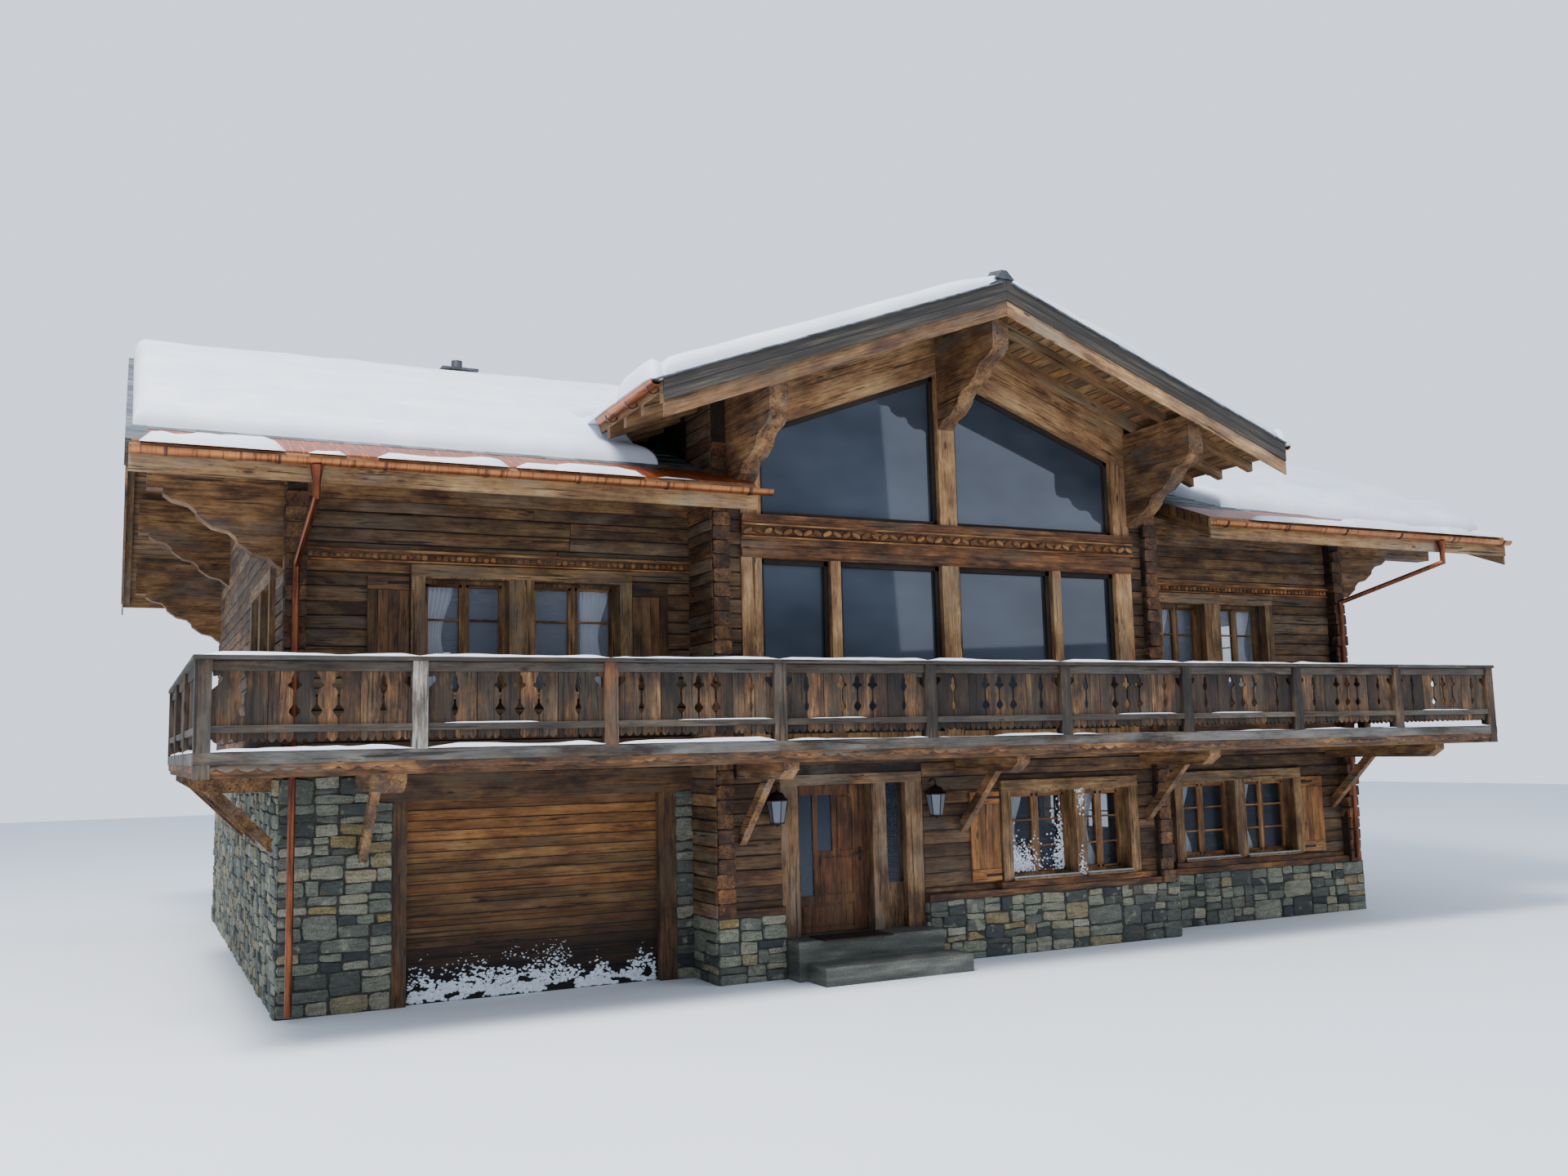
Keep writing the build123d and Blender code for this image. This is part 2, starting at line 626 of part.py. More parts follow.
def make_downpipes():
    """A hopper head and a bent pipe at each end of the front, and its lower run under the balcony."""
    top = main_top(EAVE) - GUTTER_BELOW_SLATE - GUTTER_RADIUS
    gutter_y = -(EAVE + BARGE_THICK + GUTTER_RADIUS)
    wall_y = FRONT - LOG_END_OUT - PIPE_RADIUS - PIPE_GAP
    solids = []
    for hopper_x, pipe_x, foot in ((LEFT_HOPPER_X, HOUSE_LEFT + LOG_THICK / 2, PIPE_FOOT_UP),
                                   (RIGHT_HOPPER_X, HOUSE_RIGHT - LOG_THICK / 2, PLINTH_TOP + PIPE_FOOT_UP)):
        low = top - HOPPER_HIGH
        hopper = frustum(hopper_x, gutter_y, low, top, PIPE_RADIUS, GUTTER_RADIUS, PIPE_SIDES)
        route = [(hopper_x, gutter_y, low), (hopper_x, gutter_y, low - HOPPER_HIGH),
                 (pipe_x, wall_y, PIPE_ELBOW), (pipe_x, wall_y, UPPER_FLOOR_TOP)]
        solids.append(hopper + pipe_run(route))
        plane = Plane((pipe_x, wall_y, foot))
        lower = plane * RegularPolygon(PIPE_RADIUS, PIPE_SIDES)
        solids.append(extrude(lower, amount=UPPER_FLOOR_TOP - DECK_THICK - foot))
    return Compound(children=solids)


def make_chimney():
    """A square chimney with a round flue pot."""
    half = CHIMNEY_WIDE / 2
    base = main_top(CHIMNEY_Y + half, ROOF_DEEP)
    stack = box(CHIMNEY_X - half, CHIMNEY_X + half, CHIMNEY_Y - half, CHIMNEY_Y + half, base, CHIMNEY_TOP)
    cap_half = half + 2 * BARGE_THICK
    cap = box(CHIMNEY_X - cap_half, CHIMNEY_X + cap_half, CHIMNEY_Y - cap_half, CHIMNEY_Y + cap_half,
              CHIMNEY_TOP - SILL_HIGH, CHIMNEY_TOP)
    flue = Pos(CHIMNEY_X, CHIMNEY_Y, CHIMNEY_TOP + FLUE_HIGH / 2) * Cylinder(FLUE_RADIUS, FLUE_HIGH)
    return stack + cap + flue


def chimney_hole():
    """The hole that the chimney stands in."""
    half = CHIMNEY_WIDE / 2
    return box(CHIMNEY_X - half, CHIMNEY_X + half, CHIMNEY_Y - half, CHIMNEY_Y + half, 0, 2 * RIDGE_TOP)


def snow_slab(side, x0, x1):
    """Snow on one slope of the main roof, with a rounded lower edge."""
    eave = side * (EAVE - SNOW_EAVE_BACK)
    nose = side * (EAVE - SNOW_EAVE_BACK - SNOW_MAIN)
    base = SNOW_GAP
    points = [(0, main_top(0, -base)), (eave, main_top(eave, -base)),
              (eave, main_top(eave, -SNOW_MAIN / 2)), (nose, main_top(nose, -SNOW_MAIN)),
              (0, main_top(0, -SNOW_MAIN))]
    return along_x(points, x0, x1)


def make_snow():
    """Snow that lies on the main roof: three slabs, each clear of the others and of the cross gable."""
    edge = GABLE_HALF + SNOW_SETBACK
    gable = below_gable(-SNOW_GAP, -FAR, 0) & box(-edge, edge, -FAR, 0, 0, 2 * RIDGE_TOP)
    front = box(-FAR, FAR, -FAR, -SNOW_JOINT, 0, 2 * RIDGE_TOP)
    left = (snow_slab(-1, VERGE_LEFT + SNOW_SETBACK, -SNOW_JOINT) & front) - gable
    right = (snow_slab(-1, SNOW_JOINT, VERGE_RIGHT - SNOW_SETBACK) & front) - gable
    back = snow_slab(1, VERGE_LEFT + SNOW_SETBACK, VERGE_RIGHT - SNOW_SETBACK)
    half = CHIMNEY_WIDE / 2 + SNOW_SETBACK
    back -= box(CHIMNEY_X - half, CHIMNEY_X + half, CHIMNEY_Y - half, CHIMNEY_Y + half, 0, 2 * RIDGE_TOP)
    return [left, right, back]


def make_gable_snow():
    """Snow on both slopes of the cross gable, thinner than on the main roof."""
    eave = GABLE_HALF - SNOW_SETBACK
    points = [(-eave, gable_top(eave, -SNOW_GAP)), (0, gable_top(0, -SNOW_GAP)),
              (eave, gable_top(eave, -SNOW_GAP)), (eave, gable_top(eave, -SNOW_GABLE / 2)),
              (eave - SNOW_GABLE, gable_top(eave - SNOW_GABLE, -SNOW_GABLE)),
              (0, gable_top(0, -SNOW_GABLE)),
              (-eave + SNOW_GABLE, gable_top(eave - SNOW_GABLE, -SNOW_GABLE)),
              (-eave, gable_top(eave, -SNOW_GABLE / 2))]
    snow = along_y(points, GABLE_VERGE + SNOW_SETBACK / 3, 0)
    return snow - below_main(-SNOW_MAIN - SNOW_JOINT)


def window_x(x0, x1, sill, head, face, out):
    """A window in a wall along X: the frame with its mullion and outer boards, and two panes."""
    y_outer = face - out * FRAME_SETBACK
    y_inner = y_outer - out * FRAME_DEEP
    ys = sorted((y_outer, y_inner))
    mid = (x0 + x1) / 2
    frame = box(x0, x1, *ys, sill, head)
    clear = box(x0 + FRAME_WIDE, x1 - FRAME_WIDE, *ys, sill + FRAME_WIDE, head - FRAME_WIDE)
    mullion = box(mid - MULLION_WIDE / 2, mid + MULLION_WIDE / 2, *ys, sill, head)
    frame = frame - clear + mullion
    yc = sorted((face, face + out * CASING_OUT))
    rim = CASING_RIM
    casing = box(x0 - CASING_WIDE, x1 + CASING_WIDE, *yc, sill - SILL_HIGH, head + CASING_WIDE)
    casing -= box(x0 + rim, x1 - rim, *yc, sill + rim, head - rim)
    lining = box(x0, x1, *sorted((y_outer, face)), sill, head)
    lining -= box(x0 + rim, x1 - rim, *sorted((y_outer, face)), sill + rim, head - rim)
    ysill = sorted((face, face + out * (CASING_OUT + SILL_OUT)))
    ledge = box(x0 - rim, x1 + rim, *ysill, sill - SILL_HIGH, sill + rim)
    y_glass = (y_outer + y_inner) / 2
    panes = box(x0 + FRAME_WIDE, x1 - FRAME_WIDE, y_glass - GLASS_THICK / 2, y_glass + GLASS_THICK / 2,
                sill + FRAME_WIDE, head - FRAME_WIDE) - mullion
    return frame + lining + casing + ledge, panes


def window_y(y0, y1, sill, head, face, out):
    """The same window in a wall along Y."""
    frame, panes = window_x(-y1, -y0, sill, head, 0, -1)
    turn = Pos(face, 0, 0) * Rot(0, 0, -90 if out < 0 else 90)
    if out > 0:
        frame, panes = window_x(y0, y1, sill, head, 0, -1)
    return turn * frame, turn * panes


def window_row_x(row, sill, head, face, out):
    """Frames and panes for a row of windows; boards that meet are joined."""
    pairs = [window_x(x0, x1, sill, head, face, out) for x0, x1 in row]
    return joined([pair[0] for pair in pairs]), [pair[1] for pair in pairs]


def window_row_y(row, sill, head, face, out):
    """Frames and panes for a row of windows in a wall along Y."""
    pairs = [window_y(y0, y1, sill, head, face, out) for y0, y1 in row]
    return joined([pair[0] for pair in pairs]), [pair[1] for pair in pairs]


def joined(solids):
    """All the solids fused where they meet."""
    whole = solids[0]
    for solid in solids[1:]:
        whole += solid
    return whole


def shutter(x0, face, sill, head):
    """One shutter leaf, folded back on the wall, with two ledges."""
    leaf = box(x0, x0 + SHUTTER_WIDE, face - SHUTTER_THICK, face, sill, head)
    for share in (0.2, 0.8):
        z = sill + share * (head - sill) - LEDGE_HIGH / 2
        leaf += box(x0 + LEDGE_OUT, x0 + SHUTTER_WIDE - LEDGE_OUT, face - SHUTTER_THICK - LEDGE_OUT,
                    face - SHUTTER_THICK, z, z + LEDGE_HIGH)
    return leaf


def make_shutters():
    """The shutters on the front, folded back beside their window rows."""
    beside = CASING_WIDE + LEDGE_OUT
    return Compound(children=[
        shutter(UPPER_LEFT[-1][1] + beside, FRONT, UPPER_SILL, UPPER_HEAD),
        shutter(GROUND_CENTRE[0][0] - beside - SHUTTER_WIDE, CENTRE_FRONT, GROUND_SILL, GROUND_HEAD),
        shutter(GROUND_WING[-1][1] + beside, FRONT, GROUND_SILL, GROUND_HEAD),
        shutter(UPPER_LEFT[0][0] - beside - SHUTTER_WIDE, FRONT, UPPER_SILL, UPPER_HEAD)])


def make_floors():
    """The garage floor, the raised ground floor and the upper floor, all inside the walls."""
    inner_back = BACK - LOG_THICK
    inner_right = HOUSE_RIGHT - LOG_THICK
    centre_inner = CENTRE_HALF - LOG_THICK
    centre_y = CENTRE_FRONT + LOG_THICK
    garage = box(HOUSE_LEFT + STONE_THICK, -CENTRE_HALF, FRONT + STONE_THICK, inner_back,
                 0, GARAGE_FLOOR_TOP)
    ground = box(-CENTRE_HALF, inner_right, FRONT + LOG_THICK, inner_back, 0, HOUSE_FLOOR_TOP)
    ground += box(-centre_inner, centre_inner, centre_y, FRONT + LOG_THICK, 0, HOUSE_FLOOR_TOP)
    upper = box(HOUSE_LEFT + LOG_THICK, inner_right, FRONT + LOG_THICK, inner_back,
                UPPER_FLOOR_BOTTOM, UPPER_FLOOR_TOP)
    upper += box(-centre_inner, centre_inner, centre_y, FRONT + LOG_THICK,
                 UPPER_FLOOR_BOTTOM, UPPER_FLOOR_TOP)
    return garage, ground, upper


def make_garage():
    """Stone beside the garage door, its timber frame, and the door's boarded leaf."""
    post_left = GARAGE_LEFT - GARAGE_POST_LEFT
    post_right = GARAGE_RIGHT + GARAGE_POST_RIGHT
    head_left = post_left - GARAGE_HEAD_REACH
    y1 = FRONT + STONE_THICK
    stone = box(HOUSE_LEFT, post_left, FRONT, y1, 0, STONE_TOP)
    stone -= box(head_left, post_left, FRONT, y1, GARAGE_HEAD, STONE_TOP)
    strip = box(post_right, -CENTRE_HALF, FRONT, y1, 0, GARAGE_HEAD)
    frame = box(post_left, GARAGE_LEFT, FRONT, y1, 0, GARAGE_HEAD)
    frame += box(GARAGE_RIGHT, post_right, FRONT, y1, 0, GARAGE_HEAD)
    frame += box(head_left, -CENTRE_HALF, FRONT, y1, GARAGE_HEAD, STONE_TOP)
    door_y = FRONT + GARAGE_DOOR_SETBACK
    step = GARAGE_HEAD / GARAGE_BOARDS
    points = [(door_y + GARAGE_DOOR_THICK, 0), (door_y, 0)]
    for board in range(1, GARAGE_BOARDS):
        z = board * step
        points += [(door_y, z - GARAGE_BOARD_GROOVE), (door_y + GARAGE_BOARD_GROOVE, z),
                   (door_y, z + GARAGE_BOARD_GROOVE)]
    points += [(door_y, GARAGE_HEAD), (door_y + GARAGE_DOOR_THICK, GARAGE_HEAD)]
    door = along_x(points, GARAGE_LEFT, GARAGE_RIGHT)
    return Compound(children=[stone, strip]), frame, door


def make_stone():
    """The stone side wall on the garage side, and the plinths under the log walls."""
    left = box(HOUSE_LEFT, HOUSE_LEFT + STONE_THICK, FRONT + STONE_THICK, BACK - LOG_THICK, 0, STONE_TOP)
    centre_out = CENTRE_FRONT - PLINTH_OUT
    centre_in = CENTRE_FRONT + LOG_THICK
    corner = CENTRE_HALF + PLINTH_OUT
    left_pier = box(-CENTRE_HALF, ENTRANCE_LEFT, centre_out, centre_in, 0, PLINTH_TOP)
    left_pier += box(-CENTRE_HALF, -CENTRE_HALF + LOG_THICK, centre_out, FRONT, 0, PLINTH_TOP)
    right_pier = box(ENTRANCE_RIGHT, corner, centre_out, centre_in, 0, PLINTH_TOP)
    right_pier += box(CENTRE_HALF - LOG_THICK, corner, centre_out, FRONT - PLINTH_OUT, 0, PLINTH_TOP)
    wing = box(CENTRE_HALF, HOUSE_RIGHT + PLINTH_OUT, FRONT - PLINTH_OUT, FRONT + LOG_THICK, 0, PLINTH_TOP)
    wing += box(CENTRE_HALF - LOG_THICK, CENTRE_HALF, FRONT - PLINTH_OUT, FRONT + LOG_THICK, 0, PLINTH_TOP)
    side = box(HOUSE_RIGHT - LOG_THICK, HOUSE_RIGHT + PLINTH_OUT, FRONT + LOG_THICK,
               BACK - LOG_THICK, 0, PLINTH_TOP)
    back = box(HOUSE_LEFT, HOUSE_RIGHT + PLINTH_OUT, BACK - LOG_THICK, BACK + PLINTH_OUT, 0, PLINTH_TOP)
    return left, Compound(children=[left_pier, right_pier + wing]), side, back


def make_centre_ground():
    """Ground-floor log walls of the projecting centre: beside and over the entrance."""
    z0 = PLINTH_TOP
    z1 = UPPER_FLOOR_TOP
    head = ENTRANCE_HEAD + ENTRANCE_HEAD_HIGH
    ends = CENTRE_FRONT - PLINTH_OUT
    left = log_wall_x(CENTRE_FRONT, -1, -CENTRE_HALF, ENTRANCE_LEFT, z0, z1)
    left += log_wall_y(-CENTRE_HALF, -1, ends, FRONT, z0, z1)
    right = log_wall_x(CENTRE_FRONT, -1, ENTRANCE_RIGHT, CENTRE_HALF, z0, z1)
    right += log_wall_y(CENTRE_HALF, 1, ends, FRONT, z0, z1)
    right = cut(right, holes_x(GROUND_CENTRE, GROUND_SILL, GROUND_HEAD, CENTRE_FRONT - 1,
                               CENTRE_FRONT + LOG_THICK + 1))
    over = log_wall_x(CENTRE_FRONT, -1, ENTRANCE_LEFT, ENTRANCE_RIGHT, head, z1)
    return left, right, over


def make_wing_walls():
    """Front log walls of the wings: over the garage, and from the plinth up on the right."""
    top = main_top(FRONT, ROOF_DEEP) - PURLIN_HIGH
    hole = (FRONT - 1, FRONT + LOG_THICK + 1)
    left = log_wall_x(FRONT, -1, HOUSE_LEFT + LOG_THICK, -CENTRE_HALF, STONE_TOP, top)
    left = cut(left, holes_x(UPPER_LEFT, UPPER_SILL, UPPER_HEAD, *hole))
    right = log_wall_x(FRONT, -1, CENTRE_HALF - LOG_THICK, HOUSE_RIGHT - LOG_THICK, PLINTH_TOP, top)
    right -= box(CENTRE_HALF - LOG_THICK - 1, CENTRE_HALF, -FAR, FRONT, 0, FAR)
    right = cut(right, holes_x(UPPER_RIGHT, UPPER_SILL, UPPER_HEAD, *hole))
    right = cut(right, holes_x(GROUND_WING, GROUND_SILL, GROUND_HEAD, *hole))
    return left, right


def make_gable_walls():
    """The two gable walls, up to the slated deck, with pockets for the purlins and log ends."""
    y0 = FRONT - LOG_END_OUT
    y1 = BACK + LOG_END_OUT
    high = RIDGE_TOP - STONE_TOP
    roof = below_main(SLATE_DECK)
    hole = (HOUSE_LEFT - 1, HOUSE_LEFT + LOG_THICK + 1)
    left = log_wall_y(HOUSE_LEFT, -1, y0, y1, STONE_TOP, STONE_TOP + high) & roof
    left = cut(left, holes_y(SIDE_WINDOWS, UPPER_SILL, UPPER_HEAD, *hole))
    hole = (HOUSE_RIGHT - LOG_THICK - 1, HOUSE_RIGHT + 1)
    right = log_wall_y(HOUSE_RIGHT, 1, y0, y1, PLINTH_TOP, RIDGE_TOP) & roof
    right = cut(right, holes_y(SIDE_WINDOWS, UPPER_SILL, UPPER_HEAD, *hole))
    right = cut(right, holes_y(SIDE_GROUND_WINDOWS, GROUND_SILL, GROUND_HEAD, *hole))
    return left, right


def make_back_wall():
    """The back log wall over its plinth, between the gable walls."""
    top = main_top(BACK, ROOF_DEEP) - PURLIN_HIGH
    wall = log_wall_x(BACK, 1, HOUSE_LEFT + LOG_THICK, HOUSE_RIGHT - LOG_THICK, PLINTH_TOP, top)
    hole = (BACK - LOG_THICK - 1, BACK + 1)
    return cut(wall, holes_x(BACK_WINDOWS, UPPER_SILL, UPPER_HEAD, *hole))


def make_centre_piers():
    """Log piers at both corners of the centre, upper storey, with their side walls."""
    ends = CENTRE_FRONT - PLINTH_OUT
    outer = OUTER_POST[1]
    roof = below_gable(SLATE_DECK)
    piers = []
    for side in (-1, 1):
        xs = sorted((side * outer, side * CENTRE_HALF))
        pier = log_wall_x(CENTRE_FRONT, -1, *xs, UPPER_FLOOR_TOP, GABLE_RIDGE_TOP)
        pier += log_wall_y(side * CENTRE_HALF, side, ends, FRONT, UPPER_FLOOR_TOP, GABLE_RIDGE_TOP)
        inner = side * (CENTRE_HALF - LOG_THICK)
        cheek = box(*sorted((inner, side * CENTRE_HALF)), FRONT, -PURLIN_MID, main_top(FRONT), GABLE_RIDGE_TOP)
        pier += cheek - below_main(0)
        piers.append(pier & roof)
    return piers


def make_centre_frame():
    """The timber front of the centre: lower posts, the carved band, and the head over the glass."""
    y0 = CENTRE_FRONT - CENTRE_POST_OUT
    y1 = CENTRE_FRONT + LOG_THICK
    posts = [(-OUTER_POST[1], -OUTER_POST[0]), (-MID_POST[1], -MID_POST[0]),
             (-CENTRE_POST_HALF, CENTRE_POST_HALF), MID_POST, OUTER_POST]
    sill = box(-OUTER_POST[1], OUTER_POST[1], y0, y1, UPPER_FLOOR_TOP, LOWER_GLASS_SILL)
    lower = sill
    for x0, x1 in posts:
        lower += box(x0, x1, y0, y1, LOWER_GLASS_SILL, BAND_BOTTOM)
    band_mid = (BAND_BOTTOM + BAND_TOP) / 2
    roll = BAND_OUT / 2
    section = [(y1, BAND_BOTTOM), (y0, BAND_BOTTOM), (y0 - roll, BAND_BOTTOM + roll),
               (y0 - roll, BAND_BOTTOM + 3 * roll), (y0, BAND_BOTTOM + 4 * roll), (y0, band_mid),
               (y0 - roll, band_mid + roll), (y0 - roll, BAND_TOP - 2 * roll),
               (y0 - BAND_OUT, BAND_TOP - roll), (y0 - BAND_OUT, BAND_TOP), (y1, BAND_TOP)]
    band = along_x(section, -OUTER_POST[1], OUTER_POST[1])
    outer = OUTER_POST[1]
    inner = OUTER_POST[0]
    slope = GABLE_PITCH
    glass_top = [(0, GABLE_GLASS_TOP), (inner, GABLE_GLASS_TOP - slope * inner)]
    head = along_y([(-outer, BAND_TOP), (outer, BAND_TOP), (outer, gable_top(outer, SLATE_DECK)),
                    (0, gable_top(0, SLATE_DECK)), (-outer, gable_top(outer, SLATE_DECK))], y0, y1)
    for side in (-1, 1):
        near = side * CENTRE_POST_HALF
        far = side * glass_top[1][0]
        opening = [(near, BAND_TOP), (far, BAND_TOP), (far, glass_top[1][1]),
                   (near, GABLE_GLASS_TOP - slope * CENTRE_POST_HALF)]
        head -= along_y(opening, y0 - 1, y1 + 1)
    return lower, band, head


def make_centre_glass():
    """The large panes of the centre: four below the band and two under the gable."""
    yc = CENTRE_FRONT + LOG_THICK / 2
    y0 = yc - GLASS_THICK / 2
    y1 = yc + GLASS_THICK / 2
    edges = [(CENTRE_POST_HALF, MID_POST[0]), (MID_POST[1], OUTER_POST[0])]
    panes = []
    for side in (-1, 1):
        for near, far in edges:
            xs = sorted((side * near, side * far))
            panes.append(box(*xs, y0, y1, LOWER_GLASS_SILL, BAND_BOTTOM))
        near = CENTRE_POST_HALF
        far = OUTER_POST[0]
        points = [(side * near, BAND_TOP), (side * far, BAND_TOP),
                  (side * far, GABLE_GLASS_TOP - GABLE_PITCH * far),
                  (side * near, GABLE_GLASS_TOP - GABLE_PITCH * near)]
        panes.append(along_y(points, y0, y1))
    return Compound(children=panes)


def make_entrance():
    """The entrance frame with its side light, the side light's pane and the stone landing."""
    y0 = CENTRE_FRONT
    y1 = CENTRE_FRONT + LOG_THICK
    top = ENTRANCE_HEAD + ENTRANCE_HEAD_HIGH
    light_left = DOOR_RIGHT + DOOR_POST_WIDE
    light_right = light_left + SIDELIGHT_WIDE
    frame = box(ENTRANCE_LEFT, ENTRANCE_RIGHT, y0, y1, HOUSE_FLOOR_TOP, top)
    frame -= box(DOOR_LEFT, DOOR_RIGHT, y0, y1, HOUSE_FLOOR_TOP, ENTRANCE_HEAD)
    frame -= box(light_left, light_right, y0, y1, SIDELIGHT_SILL, ENTRANCE_HEAD)
    frame -= box(light_left, light_right, y0, y0 + FRAME_SETBACK, HOUSE_FLOOR_TOP, SIDELIGHT_SILL)
    yc = (y0 + y1) / 2
    pane = box(light_left, light_right, yc - GLASS_THICK / 2, yc + GLASS_THICK / 2,
               SIDELIGHT_SILL, ENTRANCE_HEAD)
    step = box(ENTRANCE_LEFT, ENTRANCE_RIGHT, CENTRE_FRONT - STEP_OUT, y1, 0, HOUSE_FLOOR_TOP)
    low_y = CENTRE_FRONT - STEP_OUT
    step += box(ENTRANCE_LEFT + STEP_LOW_SIDE, ENTRANCE_RIGHT + STEP_LOW_SIDE, low_y - STEP_LOW_OUT,
                low_y, 0, STEP_LOW_HIGH)
    return frame, pane, step


def door_place():
    """The leaf's edges: left, right, outer face, inner face, bottom and top."""
    inner = CENTRE_FRONT + LOG_THICK
    return (DOOR_LEFT + DOOR_GAP, DOOR_RIGHT - DOOR_GAP, inner - DOOR_THICK, inner,
            HOUSE_FLOOR_TOP + DOOR_GAP, ENTRANCE_HEAD - DOOR_GAP)


def make_door():
    """The front door: a tall pane at the left, a short one above a raised panel, and a board along the foot."""
    x0, x1, y0, y1, z0, z1 = door_place()
    tall_left = x0 + DOOR_LEFT_STILE
    tall_right = tall_left + DOOR_TALL_PANE
    short_left = tall_right + DOOR_POST_BETWEEN
    short_right = short_left + DOOR_SHORT_PANE
    panel_left = short_right + DOOR_RAIL
    panel_right = x1 - DOOR_RIGHT_STILE
    top = z1 - DOOR_TOP_RAIL
    short_sill = z0 + DOOR_SHORT_PANE_UP
    tall_sill = z0 + DOOR_TALL_PANE_UP
    yc = (y0 + y1) / 2
    leaf = box(x0, x1, y0, y1, z0, z1)
    panes = []
    for left, right, sill in ((tall_left, tall_right, tall_sill), (short_left, short_right, short_sill)):
        leaf -= box(left, right, y0, y1, sill, top)
        panes.append(box(left, right, yc - GLASS_THICK / 2, yc + GLASS_THICK / 2, sill, top))
    rim = DOOR_PANEL_RIM
    sunk = DOOR_PANEL_SUNK
    panels = ((panel_left, panel_right, short_sill, top),
              (short_left, panel_right, tall_sill, short_sill - DOOR_RAIL),
              (tall_left, panel_right, z0 + DOOR_BOARD_LOW, z0 + DOOR_BOARD_LOW + DOOR_BOARD_HIGH))
    for left, right, low, high in panels:
        leaf -= box(left, right, y0, y0 + sunk, low, high)
        leaf += box(left + rim, right - rim, y0, y0 + sunk, low + rim, high - rim)
    return leaf, Compound(children=panes)


def hinge_heights():
    """Where the three hinges stand."""
    z0, z1 = door_place()[4:]
    return [z0 + share * (z1 - z0) for share in HINGE_SHARES]


def make_hinges():
    """Lift-off hinges: fixed lower knuckles on the frame, upper knuckles for the leaf."""
    x = DOOR_LEFT + DOOR_GAP / 2
    y = CENTRE_FRONT + LOG_THICK + HINGE_RADIUS
    fixed = []
    moving = []
    for z in hinge_heights():
        knuckle = Pos(x, y, z - HINGE_HIGH / 2) * Cylinder(HINGE_RADIUS, HINGE_HIGH)
        plate = box(x - 4 * HINGE_RADIUS, x, y - HINGE_RADIUS, y - HINGE_RADIUS + HINGE_PLATE_THICK,
                    z - HINGE_HIGH, z)
        fixed.append(knuckle + plate)
        low = z + HINGE_GAP
        knuckle = Pos(x, y, low + HINGE_HIGH / 2) * Cylinder(HINGE_RADIUS, HINGE_HIGH)
        plate = box(x, x + 4 * HINGE_RADIUS, y - HINGE_RADIUS, y - HINGE_RADIUS + HINGE_PLATE_THICK,
                    low, low + HINGE_HIGH)
        moving.append(knuckle + plate)
    return Compound(children=fixed), moving


def make_handle():
    """A lever handle on a long plate, outside."""
    x1, y0, z0 = [door_place()[edge] for edge in (1, 2, 4)]
    x = x1 - DOOR_RIGHT_STILE / 2
    z = z0 + HANDLE_HIGH
    half = HANDLE_PLATE_HALF
    plate_y = y0 - half / 4
    handle = box(x - half, x + half, plate_y, y0, z - 4 * half, z + 4 * half)
    spindle = Pos(x, plate_y - half, z) * Rot(90, 0, 0) * Cylinder(half / 2, 2 * half)
    lever = box(x - 6 * half, x + half / 2, plate_y - 2.5 * half, plate_y - 2 * half, z - half / 2,
                z + half / 2)
    return handle + spindle + lever


def lantern(x, y, base, arm):
    """A six-sided tapering lantern with a peaked roof, hung from a bracket on the wall."""
    top = base + LANTERN_HIGH
    body = frustum(x, y, base, top, LANTERN_FOOT_SHARE * LANTERN_RADIUS, LANTERN_RADIUS, LANTERN_SIDES)
    hood_high = LANTERN_HOOD_SHARE * LANTERN_HIGH
    hood = frustum(x, y, top, top + hood_high, LANTERN_BRIM_SHARE * LANTERN_RADIUS,
                   LANTERN_PEAK_SHARE * LANTERN_RADIUS, LANTERN_SIDES)
    bar = 0.12 * LANTERN_RADIUS
    high = top + hood_high
    stem = box(x - bar, x + bar, y - bar, y + bar, high - bar, high + 4 * bar)
    hook = box(x - bar, x + bar, y - bar, y + arm, high + 3 * bar, high + 5 * bar)
    plate = box(x - 3 * bar, x + 3 * bar, y + arm - bar, y + arm, high - 6 * bar, high + 8 * bar)
    return body + hood + stem + hook + plate


def make_lanterns():
    """The two lanterns beside the entrance."""
    y = CENTRE_FRONT - LANTERN_ARM
    return Compound(children=[lantern(x, y, LANTERN_BASE, LANTERN_ARM) for x in LANTERN_XS])


def balcony_stations(start, end, bays):
    """Post centres along one side of the balcony."""
    return [start + (end - start) * index / bays for index in range(bays + 1)]


def mirrored_points(x, z, half, high, side):
    """A cut-out that is the same on both sides of x, from the shares of its right side."""
    right = [(x + a * half, z + b * high) for a, b in side]
    return right + [(x, z + high)] + [(2 * x - a, b) for a, b in reversed(right)]


def vase_points(x, z):
    """A vase-shaped cut-out: a trefoil head, a neck, a round belly and a slit under it."""
    return mirrored_points(x, z, FRET_WIDE / 2, FRET_HIGH, VASE_SIDE)


def slit_points(x, z):
    """A narrow pointed cut-out with a swelling at its middle."""
    return mirrored_points(x, z, FRET_SLIT_WIDE / 2, FRET_HIGH, SLIT_SIDE)


def half_heart_points(x, z, side):
    """Half a heart against a post."""
    return [(x + side * a * HEART_WIDE, z + b * HEART_HIGH) for a, b in HALF_HEART]


def scallops(start, end, low, wide, high):
    """The points of a scalloped lower edge, left to right: hanging lobes between notches."""
    count = max(1, round((end - start) / wide))
    step = (end - start) / count
    points = [(start, low + high)]
    for index in range(count):
        x = start + index * step
        points += [(x + a * step, low + b * high) for a, b in LOBE]
    return points


